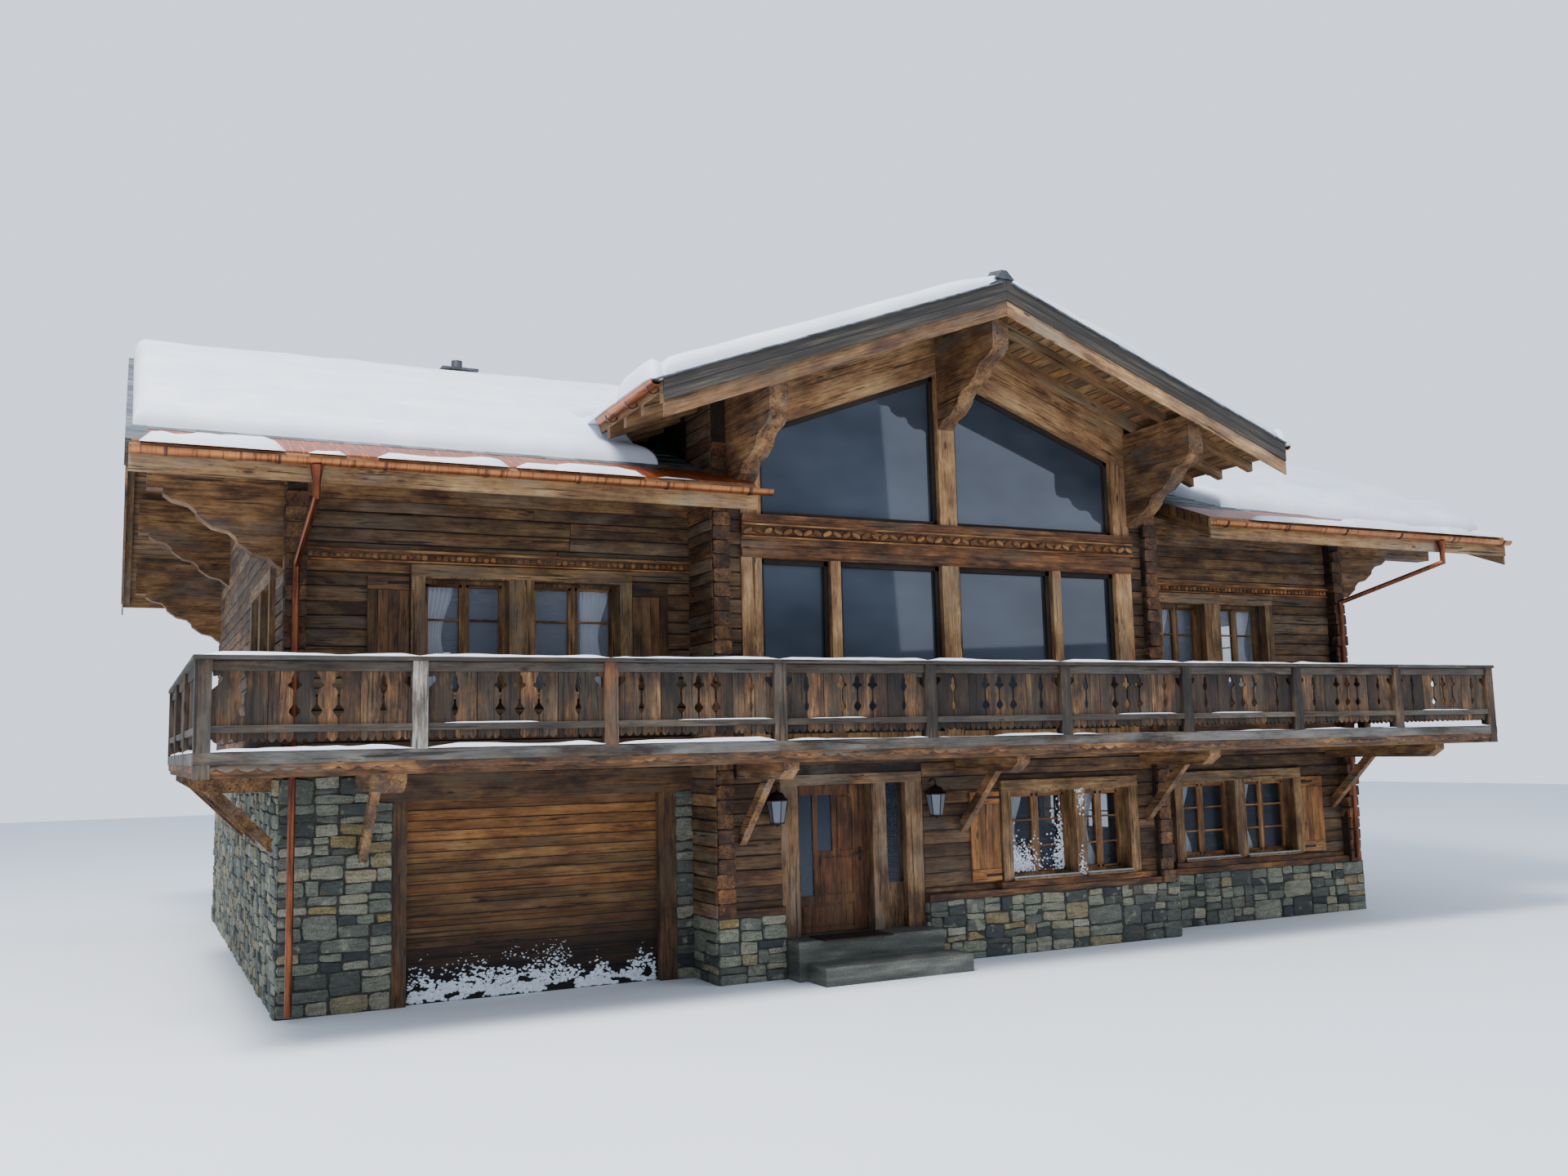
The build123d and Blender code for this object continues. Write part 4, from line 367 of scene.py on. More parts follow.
def gable_timber(name):
    """The gable's front frame: upright posts, and boards that follow the slope above the panes."""
    r = Recipe(name, 0.82)
    place = r.split()
    x = r.math("ABSOLUTE", place["X"])
    depth = depth_under(r, x, GABLE_PITCH, GABLE_RIDGE, place["Z"])
    above = r.math("LESS_THAN", depth, GABLE_HEAD_DEEP)
    own = r.mix("VECTOR", above, r.joined(place["Z"], place["X"], place["Y"]), r.joined(x, depth, place["Y"]))
    # The gable frame takes the lightened POST tones: painted light
    base, relief, fibre = grown(r, own, PLAIN_TINT, POST, POST_BLOOM, 0.25, lift=r.noise(r.place, 0.7, 1.0))
    joint = r.ramp(r.math("FRACT", r.math("DIVIDE", depth, 0.18)), (0.0, 0.0), (0.04, 1.0))
    base = r.blend(r.times(above, r.math("SUBTRACT", 1.0, joint)), base, JOINT)
    r.height(relief, 0.014, 0.8)
    return r.colour(base)


def roof_sides(name, ridge, pitch, across, along, weather):
    """The roof's deck and rafters: slates above, boards below that run along the given axis, and rafters
    that run down the slope. across is the axis that the slope falls along."""
    r = Recipe(name, 0.8)
    place = r.split()
    run = r.math("ABSOLUTE", place[across])
    depth = depth_under(r, run, pitch, ridge, place["Z"])
    tint, joint = board_rows(r, run, BOARD_PITCH)
    planks, relief, fibre = grown(r, r.joined(place[along], run, depth), tint, SOFFIT, weather, 0.2)
    beams = grown(r, r.joined(run, place[along], depth), PLAIN_TINT, SOFFIT, weather, 0.3,
                  lift=r.noise(r.place, 0.6, 1.0))[0]
    base = r.blend(r.math("GREATER_THAN", depth, SLATE_DECK + 0.008), r.blend(joint, "120c08", planks), beams)
    flake = r.noise(r.place, (4, 9, 9), 5.0, 0.65)
    up = r.split(r.add("ShaderNodeNewGeometry").outputs["Normal"])["Z"]
    r.height(relief, 0.01, 0.6)
    slates = r.ramp(flake, (0.3, "1d2023"), (0.7, "4b5054"))
    return r.colour(r.blend(r.math("GREATER_THAN", up, 0.3), base, slates))


def verge_finish(name):
    """The verge boards: two slate-grey boards above, and weathered brown timber below them."""
    r = Recipe(name, 0.75)
    place = r.split()
    x = r.math("ABSOLUTE", place["X"])
    y = r.math("ABSOLUTE", place["Y"])
    outer = r.math("GREATER_THAN", x, GABLE_EAVE + 1.0)
    depth = r.mix("FLOAT", outer, depth_under(r, x, GABLE_PITCH, GABLE_RIDGE, place["Z"]),
                  depth_under(r, y, PITCH, RIDGE, place["Z"]))
    own = r.joined(r.mix("FLOAT", outer, x, y), depth)
    side = r.math("GREATER_THAN", place["X"], 0.0)
    brown, relief, fibre = grown(r, own, side, BARGE, ("5d564b", "857b6b"), 0.3)
    cloud = r.noise(own, (0.8, 16, 1), 6.0, 0.7)
    grey = r.ramp(cloud, (0.28, "191612"), (0.5, "37312a"), (0.72, "625748"))
    line = r.ramp(r.math("ABSOLUTE", r.math("SUBTRACT", depth, 0.14)), (0.006, 0.0), (0.014, 1.0))
    r.height(r.math("ADD", relief, cloud), 0.01, 0.6)
    return r.colour(r.blend(r.math("GREATER_THAN", depth, 0.274), r.blend(line, "15171a", grey), brown))


def mottled(name, roughness, scale, detail, stops, relief, strength=1.0, grit=0.55, shine=None, surface=None):
    """A plain finish that one noise mottles: bed, frost, plaster, iron and painted sheet."""
    r = Recipe(name, roughness, surface)
    cloud = r.noise(r.place, scale, detail, grit)
    r.height(cloud, relief, strength)
    if shine:
        r.rough(cloud, *shine)
    return r.colour(r.ramp(cloud, *stops))


def field_stone(name):
    """Split field stone: grey-green, slate blue and ochre stones, each with its own bedding and lichen."""
    r = Recipe(name, 0.85)
    hue = r.ramp(r.tint, (0.0, "35393a"), (0.2, "565a50"), (0.42, "6d7063"), (0.62, "80836f"),
                 (0.82, "95917b"), (0.93, "8d7847"), (1.0, "a5a291"))
    own = r.moved(r.place, r.times(r.tint, 61.0))
    beds = r.noise(own, (5, 5, 26), 5.0, 0.65)
    grit = r.noise(own, 55.0, 4.0, 0.6)
    base = r.blend(1.0, hue, r.ramp(beds, (0.28, 0.45), (0.5, 0.95), (0.72, 1.3)), "MULTIPLY")
    lichen = r.ramp(r.noise(own, 6.0), (0.60, 0.0), (0.68, 1.0))
    base = r.blend(r.times(lichen, 0.5), base, "a7a58a")
    rust = r.ramp(r.noise(own, (3, 3, 5), 3.0, shift=(4, 4, 4)), (0.62, 0.0), (0.72, 1.0))
    base = r.blend(r.times(rust, 0.4), base, "7b5a34")
    base = r.blend(r.ramp(grit, (0.35, 0.6), (0.6, 0.0)), base, "2c2e2c")
    r.height(r.times_plus(beds, 0.7, r.times(grit, 0.35)), 0.02)
    return r.colour(base)


def slab_stone(name):
    """Worn grey-green slabs of the landing."""
    r = Recipe(name, 0.7)
    beds = r.noise(r.place, (1.2, 1.2, 9), 5.0, 0.6)
    grit = r.noise(r.place, 60.0)
    base = r.ramp(beds, (0.3, "343530"), (0.55, "5a5c53"), (0.75, "84857a"))
    r.height(r.math("ADD", beds, grit), 0.006)
    return r.colour(r.blend(r.ramp(grit, (0.4, 0.5), (0.6, 0.0)), base, "23261f"))


def slate(name):
    """Blue-grey slate with split faces."""
    r = Recipe(name, 0.6)
    flake = r.noise(r.moved(r.place, r.times(r.tint, 61.0)), (4, 9, 9), 6.0, 0.65)
    r.height(flake, 0.008)
    r.rough(flake, 0.45, 0.75)
    base = r.ramp(flake, (0.3, "23272b"), (0.7, "6a7075"))
    return r.colour(r.scale_colour(base, r.times_plus(r.tint, 0.8, 0.6)))


def copper(name, bright, dull, stain, stain_share, shine=0.85):
    """Copper sheet going brown, with runs of tarnish down it."""
    r = Recipe(name, 0.42, {"Metallic": shine})
    cloud = r.noise(r.place, 2.2, 5.0, 0.6)
    runs = r.noise(r.place, (34, 2.0, 2.0), 4.0, 0.6)
    mask = r.ramp(runs, (0.62 - stain_share * 0.3, 0.0), (0.70 - stain_share * 0.2, 1.0))
    r.height(r.noise(r.place, 45.0, 3.0), 0.001, 0.5)
    r.rough(cloud, 0.32, 0.55)
    return r.colour(r.blend(r.times(mask, 0.8), r.ramp(cloud, (0.3, dull), (0.7, bright)), stain))


def glass(name, code, other, clear, haze=0.09, below=None):
    """Window glass whose grey-blue base colours are a painted reflection of a dull sky, over its own
    mirroring, and that lets a little of the room through. Panes below a height are darker: painted shade."""
    r = Recipe(name, haze, {"Alpha": 1.0 - clear, "IOR": 1.62, "Specular Tint": tone("c3cde0")})
    r.height(r.noise(r.place, 1.1, 1.0), 0.0006, 0.4)
    base = r.ramp(r.noise(r.place, (0.35, 0.35, 0.7), 3.0), (0.35, code), (0.7, other))
    if below:
        # Below the given height the base colour drops to 0.14 of itself: painted shade
        base = r.blend(r.math("LESS_THAN", r.split()["Z"], below), base, r.scale_colour(base, 0.14))
    return r.colour(base)


def snow_finish(name):
    """Settled snow: white, with a faint blue in the hollows of its bump that is painted shade."""
    r = Recipe(name, 0.55, {"Subsurface Weight": 0.15, "Subsurface Radius": (0.05, 0.06, 0.08)})
    soft = r.noise(r.place, 1.3, 4.0, 0.5)
    r.height(r.times_plus(soft, 3.0, r.times(r.noise(r.place, 90.0, 3.0), 0.12)), 0.012, 0.5)
    # The bluer low stop follows the bump's hollows: painted shade
    return r.colour(r.ramp(soft, (0.3, "d5ddea"), (0.7, "eceff5")))


def cloth_finish(name):
    """Woven curtain cloth."""
    r = Recipe(name, 0.9, {"Sheen Weight": 0.3})
    r.height(r.noise(r.place, (400, 400, 400), 1.0), 0.0006, 0.5)
    return r.colour(r.ramp(r.noise(r.place, 3.0, 3.0), (0.3, "e3e6ea"), (0.7, "fbfcfd")))


# Timber colours from dark to light, and the two greys of their weathered bloom
OLD = ("271a10", "4e3622", "745637", "9c7a4e")
OLD_BLOOM = ("51473b", "8a7b69")
# DEEP: the near-black of the walls behind the log faces, which show only in the joints: painted shade in the
# joints
DEEP = ("0a0604", "1a100a", "2e1d12", "4a3120")
BROWN = ("1c110b", "452a17", "74492a", "a3713f")
BROWN_BLOOM = ("4a3c2d", "7f6b50")
# POST is a much lighter copy of the brown timber for the window posts and gable frame, raised against the
# shadow they stand in: painted light
POST = ("3f2919", "815a38", "b18557", "d3ae78")
POST_BLOOM = ("64543f", "9a8566")
PURLIN = ("26180f", "573a23", "86603a", "b28c58")
PURLIN_BLOOM = ("4f4a43", "7b7264")
SOFFIT = ("3c2617", "644529", "836139", "a17e53")
BARGE = ("3a281a", "664a30", "92704a", "b99a6e")
GREY = ("130e0a", "2e231a", "4d3e2e", "76624a")
DECK_BLOOM = ("4a4a48", "85827a")
CASING = (("2f2015", "634729", "8f6c45", "b69463"), ("51473a", "857763"), 0.25, "z")
CASING_LEVELS = [(GROUND_LEVELS[0] - 0.3, GROUND_LEVELS[0]), (GROUND_LEVELS[1], GROUND_LEVELS[1] + 0.3),
                 (UPPER_LEVELS[0] - 0.3, UPPER_LEVELS[0]), (UPPER_LEVELS[1], UPPER_LEVELS[1] + 0.3)]
PAINT = (0.002, 0.5, 0.6)
FINISH = {
    "logs": timber("weathered_logs", OLD, OLD_BLOOM, 0.3, contrast=1.2),
    # A darker copy of the weathered logs for the ground floor under the balcony: painted shade
    "shaded_ground_logs": timber("shaded_ground_wall_logs", ("1f130b", "402a19", "604529", "86683f"),
                          ("443b30", "756857"), 0.25, contrast=1.2),
    # The walls behind the log faces take the near-black DEEP tones: painted shade in the joints
    "logs_x": timber("log_joints_lengthwise", DEEP, OLD_BLOOM, 0.1, "x"),
    "logs_y": timber("log_joints_crosswise", DEEP, OLD_BLOOM, 0.1, "y"),
    # A darker copy of the logs for the log ends and sill beams: painted shade
    "dark_logs": timber("shade_darkened_logs", ("140c08", "3a2415", "664427", "976a3b"), ("2b2620", "5d5143"), 0.2,
                        contrast=1.2),
    "purlin_x": timber("purlins_lengthwise", PURLIN, PURLIN_BLOOM, 0.25, "x"),
    "purlin_y": timber("purlins_crosswise", PURLIN, PURLIN_BLOOM, 0.25, "y"),
    # The window posts take the lightened POST tones: painted light
    "posts": timber("window_posts", POST, POST_BLOOM, 0.25, "z", 1.1),
    "gable_frame": gable_timber("gable_window_frame"),
    "rail_posts": timber("balcony_posts", ("100c09", "2b1f15", "4c3a29", "7b6344"), ("23201c", "544e45"), 0.4,
                         contrast=1.2, variety=1.2),
    "band": timber("carved_beam", BROWN, BROWN_BLOOM, 0.25, "x", 1.2),
    "casings": timber("window_casings", *CASING, across="x", levels=CASING_LEVELS),
    "side_casings": timber("side_window_casings", *CASING, across="y", levels=CASING_LEVELS),
    # The front door's tones: partly the wood's own dark colour, partly darkened further as painted shade
    # under the balcony
    "joinery": timber("dark_wood_shaded_joinery", ("22120a", "402412", "603b20", "835a33"), ("4d3722", "755a3a"), 0.15,
                      "z", 1.1),
    "entrance_frame": timber("entrance_frame", ("281a10", "503824", "7a5b3c", "a3855e"), ("5d5141", "8f826e"),
                             0.35, "z", 1.1, across="x", levels=[(2.46, 2.7)]),
    "garage_frame": timber("garage_frame", ("1b110b", "3c2617", "5d4024", "846038"), ("3c3125", "665840"),
                           0.35, "z", 1.1, across="x", levels=[(GARAGE_HEAD, 3.0)]),
    "shutter": timber("shutter_boards", ("3f2514", "6a4324", "8e6135", "b07f49"), ("685038", "8c704d"), 0.15),
    "old_shutter": timber("upper_shutter_boards", ("22150c", "46301c", "69492c", "8e6b41"),
                          ("463d32", "756852"), 0.25),
    "honey": timber("eave_boards", ("4b3320", "7a5938", "9c794d", "bb9a6f"), ("7a7061", "a69a87"), 0.3, "x"),
    "fret": timber("fretwork_boards", ("0f0a07", "2d1d10", "5a3e24", "957148"), ("191510", "4d4335"), 0.4,
                   contrast=1.7, variety=1.7),
    "rail": timber("balcony_rails", GREY, ("2a2826", "5d5952"), 0.5, contrast=1.2),
    "edge": timber("balcony_edge", ("150d08", "432b18", "774f2c", "a8824f"), ("302b26", "716656"), 0.35,
                   contrast=1.5),
    "edge_beam": timber("balcony_edge_beam", ("170e09", "452c19", "704b2b", "9d7347"), BROWN_BLOOM, 0.3, "x"),
    # The garage door's darker foot is painted shade
    "garage": timber("garage_boards", ("3b2211", "684423", "825c33", "9d7848"), ("504028", "6f5738"), 0.15,
                     "x", foot=(0.3, 1.7, "2a130b"), rows=("Z", 0.128)),
    "deck": timber("deck_boards", GREY, DECK_BLOOM, 0.5, "x"),
    "floor": timber("floor_boards", ("5a3d24", "7b5632", "936a40", "a87f50"), ("6b5238", "8d7150"), 0.1, "x"),
    "brown_post": timber("brown_post", ("1a0e07", "3e2714", "643f23", "8a633d"), ("3c342a", "665844"), 0.3),
    "flaking": timber("flaking_post", ("1d1a17", "5b554d", "96938c", "cfcfca"), ("55544f", "b5b6b1"), 0.5,
                      contrast=1.4),
    "deck_board": timber("deck_planks", GREY, DECK_BLOOM, 0.5),
    "sash": timber("window_sash_timber", ("3d2413", "684223", "8a5f37", "ab8253"), ("5d4630", "806443"), 0.1),
    "band_bead": timber("carved_motifs", ("3a2214", "6b4224", "9a6b3c", "c49a63"), ("5c4c3a", "8a785c"),
                        0.15),
    "dark_frame": timber("dark_pane_frames", ("0f0b08", "1d150f", "2c2017", "40301f"),
                         ("1f1c18", "38312a"), 0.3),
    "main_roof": roof_sides("main_roof_sides", RIDGE, PITCH, "Y", "X", ("5d5347", "8a7c68")),
    "gable_roof": roof_sides("gable_roof_sides", GABLE_RIDGE, GABLE_PITCH, "X", "Y", ("6d6250", "97886e")),
    "verge": verge_finish("verge_boards"),
    "bed": mottled("masonry_bed", 0.95, 40.0, 5.0, [(0.3, "1f1e1b"), (0.7, "4a4740")], 0.01),
    "stone": field_stone("field_stone"),
    "slab": slab_stone("landing_slabs"),
    "slate": slate("roof_slate"),
    "copper": copper("gutter_copper", "c4814f", "935735", "5f3624", 0.3),
    "apron": copper("apron_copper", "d9742c", "b04e16", "54240d", 1.0, 0.25),
    "pipe": copper("downpipe_copper", "98593a", "6c3a25", "432720", 0.4),
    "clip": copper("gutter_clips", "7d4c3a", "4e2f26", "33201c", 0.5, 0.6),
    "iron": mottled("black_iron", 0.5, 30.0, 4.0, [(0.35, "1b1c1e"), (0.8, "3a2a20")], 0.002, 0.6,
                    shine=(0.4, 0.65), surface={"Metallic": 0.6}),
    "strip": mottled("sill_strip", 0.55, (4, 4, 1.5), 5.0, [(0.4, "b8bcbf"), (0.72, "8f9497")], *PAINT),
    "lead": mottled("ridge_lead", 0.55, (4, 4, 1.5), 5.0, [(0.4, "2d3033"), (0.72, "54585c")], *PAINT),
    # The pale grey-blue tones of the wing and lantern glass are a painted sky reflection; the wing panes
    # below 2.6 m get painted shade
    "glass": glass("wing_glass", "8b929e", "b0b6c0", 0.75, below=2.6),
    # The door glass and the opaque centre glass are dark: painted shade standing for the unlit rooms behind
    # them
    "door_glass": glass("door_glass", "1b1e22", "33373d", 0.2),
    "big_glass": glass("centre_glass", "30353d", "50565f", 0.0, 0.03),
    "lantern_glass": glass("lantern_glass", "6d747a", "8c9398", 0.3),
    "snow": snow_finish("settled_snow"),
    "frost": mottled("blown_snow", 0.7, 30.0, 4.0, [(0.3, "c9d2de"), (0.65, "f3f6fa")], 0.004, 0.6),
    "curtain": cloth_finish("curtain_cloth"),
    "room": mottled("garage_concrete", 0.9, 2.0, 4.0, [(0.3, "5c5b58"), (0.7, "7a7873")], 0.003, 0.4),
}


def finished(name, mesh, finish, sharp=35.0, hides=()):
    """A finished piece of the house: shaded, named and carried. Without a finish the mesh has its own."""
    mesh.shade_smooth()
    mesh.set_sharp_from_angle(angle=math.radians(sharp))
    if finish:
        mesh.materials.clear()
        mesh.materials.append(FINISH[finish])
    piece = bpy.data.objects.new(name, mesh)
    bpy.context.scene.collection.objects.link(piece)
    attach(piece, "house")
    if hides:
        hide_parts(*hides)
    return piece


def block_object(name, points, faces):
    """A unit block that is set at many places."""
    mesh = bpy.data.meshes.new(name)
    mesh.from_pydata(points, [], faces)
    block = bpy.data.objects.new(name, mesh)
    bpy.context.scene.collection.objects.link(block)
    return block


def beam_block(name, stations, side=0.12, top=0.08):
    """A unit beam along X. side and top are its chamfers."""
    ring = [(-0.5, -0.5 + top), (-0.5 + side, -0.5), (0.5 - side, -0.5), (0.5, -0.5 + top),
            (0.5, 0.5 - top), (0.5 - side, 0.5), (-0.5 + side, 0.5), (-0.5, 0.5 - top)]
    count = len(ring)
    points = [(i / stations - 0.5, y, z) for i in range(stations + 1) for y, z in ring]
    faces = [[a + count, a - k + (k + 1) % count + count, a - k + (k + 1) % count, a]
             for i in range(stations) for k in range(count) for a in (i * count + k,)]
    faces.append(list(range(count)))
    faces.append([stations * count + k for k in reversed(range(count))])
    return block_object(name, points, faces)


def stone_block(name, cuts=3, round_off=0.16):
    """A unit stone: a cut cube with softened corners."""
    index = {}
    points = []
    faces = []

    def corner(key):
        if key not in index:
            place = Vector([share / cuts - 0.5 for share in key])
            inner = Vector([max(-0.5 + round_off, min(0.5 - round_off, v)) for v in place])
            out = place - inner
            if out.length > 0:
                place = inner + out.normalized() * min(out.length, round_off)
            index[key] = len(points)
            points.append(place)
        return index[key]

    for a in range(cuts):
        for b in range(cuts):
            for low in (0, cuts):
                quads = [[(a, b, low), (a + 1, b, low), (a + 1, b + 1, low), (a, b + 1, low)],
                         [(low, a, b), (low, a + 1, b), (low, a + 1, b + 1), (low, a, b + 1)],
                         [(b, low, a), (b, low, a + 1), (b + 1, low, a + 1), (b + 1, low, a)]]
                for quad in quads:
                    face = [corner(key) for key in quad]
                    faces.append(face if low else face[::-1])
    return block_object(name, points, faces)


def laying_tree():
    """Sets a block at every point with the point's own size and turn, then roughens the whole."""
    tree = bpy.data.node_groups.new("set_blocks", "GeometryNodeTree")
    for title, kind in (("Points", "Geometry"), ("Block", "Object"), ("Finish", "Material"),
                        ("Unevenness", "Float"), ("Unevenness Scale", "Float"), ("Seed", "Float")):
        tree.interface.new_socket(title, in_out="INPUT", socket_type="NodeSocket" + kind)
    tree.interface.new_socket("Blocks", in_out="OUTPUT", socket_type="NodeSocketGeometry")

    def add(kind, inputs=None, **settings):
        return wired(tree, kind, inputs, **settings).outputs

    def read(name, kind="FLOAT_VECTOR"):
        return add("GeometryNodeInputNamedAttribute", {"Name": name}, data_type=kind)["Attribute"]

    def keep_own(geometry, value):
        return add("GeometryNodeStoreNamedAttribute", {"Geometry": geometry, "Name": "own", "Value": value},
                   data_type="FLOAT_VECTOR")["Geometry"]

    given = add("NodeGroupInput")
    block = add("GeometryNodeObjectInfo", {"Object": given["Block"]})["Geometry"]
    stood = add("GeometryNodeInstanceOnPoints", {
        "Points": given["Points"], "Instance": keep_own(block, add("GeometryNodeInputPosition")[0]),
        "Rotation": add("FunctionNodeEulerToRotation", {0: read("turn")})[0], "Scale": read("size")})[0]
    real = add("GeometryNodeRealizeInstances", {"Geometry": stood})[0]
    length = add("ShaderNodeVectorMath", {0: read("own"), 1: read("size")}, operation="MULTIPLY")[0]
    measured = keep_own(real, length)
    seed = add("ShaderNodeMath", {0: read("tint", "FLOAT"), 1: 71.0, 2: given["Seed"]},
               operation="MULTIPLY_ADD")[0]
    lumps = add("ShaderNodeTexNoise", {"Scale": given["Unevenness Scale"], "Detail": 1.0, "W": seed},
                noise_dimensions="4D")["Color"]
    centred = add("ShaderNodeVectorMath", {0: lumps, 1: (0.5, 0.5, 0.5)}, operation="SUBTRACT")[0]
    amount = add("ShaderNodeVectorMath", {0: centred, "Scale": given["Unevenness"]}, operation="SCALE")[0]
    moved = add("GeometryNodeSetPosition", {"Geometry": measured, "Offset": amount})[0]
    add("NodeGroupOutput", {"Blocks": add("GeometryNodeSetMaterial", {
        "Geometry": moved, "Material": given["Finish"]})[0]})
    return tree


LAYING = laying_tree()
BEAM = beam_block("unit_beam", 10)
SHORT_BEAM = beam_block("unit_short_beam", 3, 0.06, 0.05)
STONE = stone_block("unit_stone")
KNOB = stone_block("unit_knob", 4, 0.5)
CRUMB = stone_block("unit_crumb", 2, 0.4)
BOARD = beam_block("unit_board", 1, 0.06, 0.06)


def lay(name, block, places, finish, unevenness=0.0, scale=3.0, sharp=35.0, hides=()):
    """Lays a block at each place, (centre, size, turn, tint), as one mesh."""
    centres, sizes, turns, tints = zip(*places)
    points = bpy.data.meshes.new(name + "_places")
    points.from_pydata(centres, [], [])
    for title, rows in (("size", sizes), ("turn", turns)):
        values = points.attributes.new(title, "FLOAT_VECTOR", "POINT")
        values.data.foreach_set("vector", [v for row in rows for v in row])
    points.attributes.new("tint", "FLOAT", "POINT").data.foreach_set("value", tints)
    piece = bpy.data.objects.new(name + "_places", points)
    bpy.context.scene.collection.objects.link(piece)
    modifier = piece.modifiers.new("set_blocks", "NODES")
    modifier.node_group = LAYING
    given = {"Block": block, "Finish": FINISH[finish], "Unevenness": unevenness, "Unevenness Scale": scale,
             "Seed": float(len(places) % 17)}
    for socket in LAYING.interface.items_tree:
        if socket.name in given:
            modifier[socket.identifier] = given[socket.name]
    depsgraph = bpy.context.evaluated_depsgraph_get()
    mesh = bpy.data.meshes.new_from_object(piece.evaluated_get(depsgraph))
    mesh.name = name
    bpy.data.objects.remove(piece)
    bpy.data.meshes.remove(points)
    return finished(name, mesh, None, sharp, hides)


def placed(rng, centre, size, turn=(0, 0, 0)):
    """One block's place, with a tint of its own."""
    return centre, size, turn, rng.random()


def spot(axis, along, across, z):
    """A point of a wall that runs along the axis."""
    return (along, across, z) if axis == "x" else (across, along, z)


def main_top(y, drop=0.0):
    """Height of the main roof's deck above y, or so much below it."""
    return RIDGE - drop - PITCH * abs(y)


def gable_top(x, drop=0.0):
    """Height of the cross gable's deck above x, or so much below it."""
    return GABLE_RIDGE - drop - GABLE_PITCH * abs(x)


def spans(start, end, holes, low, high):
    """The stretches of a course that no hole cuts."""
    pieces = [(start, end)]
    for a, b, bottom, top in holes:
        if low < top - 0.01 and high > bottom + 0.01:
            pieces = [part for p, q in pieces for part in ((p, min(q, a)), (max(p, b), q))
                      if part[1] - part[0] > 0.02]
    return pieces


def cut_lengths(a, b, rng, short=1.8, long=4.6):
    """Splits a stretch into lengths of timber."""
    cuts = [a]
    while b - cuts[-1] > long:
        cuts.append(cuts[-1] + rng.uniform(short, long))
        if b - cuts[-1] < short * 0.4:
            cuts[-1] = b
    if cuts[-1] < b:
        cuts.append(b)
    return list(zip(cuts, cuts[1:]))


def wall_logs(rng, axis, face, out, start, end, low, high, holes, shape=None):
    """Hewn log faces over a wall: axis is the way they run, face the wall's face and out its side."""
    shares = [rng.uniform(0.82, 1.2) for course in range(max(1, round((high - low) / LOG_COURSE)))]
    levels = [low]
    for share in shares:
        levels.append(levels[-1] + (high - low) * share / sum(shares))
    places = []
    for z0, z1 in zip(levels, levels[1:]):
        a, b = shape(z1, start, end) if shape else (start, end)
        if b - a < 0.2:
            continue
        for p, q in spans(a, b, holes, z0, z1):
            for c, d in cut_lengths(p, q, rng):
                across = face + out * (LOG_PROUD + rng.uniform(-0.006, 0.006) - LOG_FACE_DEEP / 2)
                turn = (rng.uniform(-0.02, 0.02), 0, QUARTER[axis])
                size = (d - c - 0.006, LOG_FACE_DEEP, z1 - z0 - rng.uniform(0.012, 0.024))
                places.append(placed(rng, spot(axis, (c + d) / 2, across, (z0 + z1) / 2), size, turn))
    return places


def hole_list(rows, levels):
    return [(a, b, *levels) for a, b in rows]


def under_main(z, start, end):
    """How far a course reaches under the main roof's deck."""
    reach = (RIDGE - SLATE_DECK - z) / PITCH
    return max(start, -reach), min(end, reach)


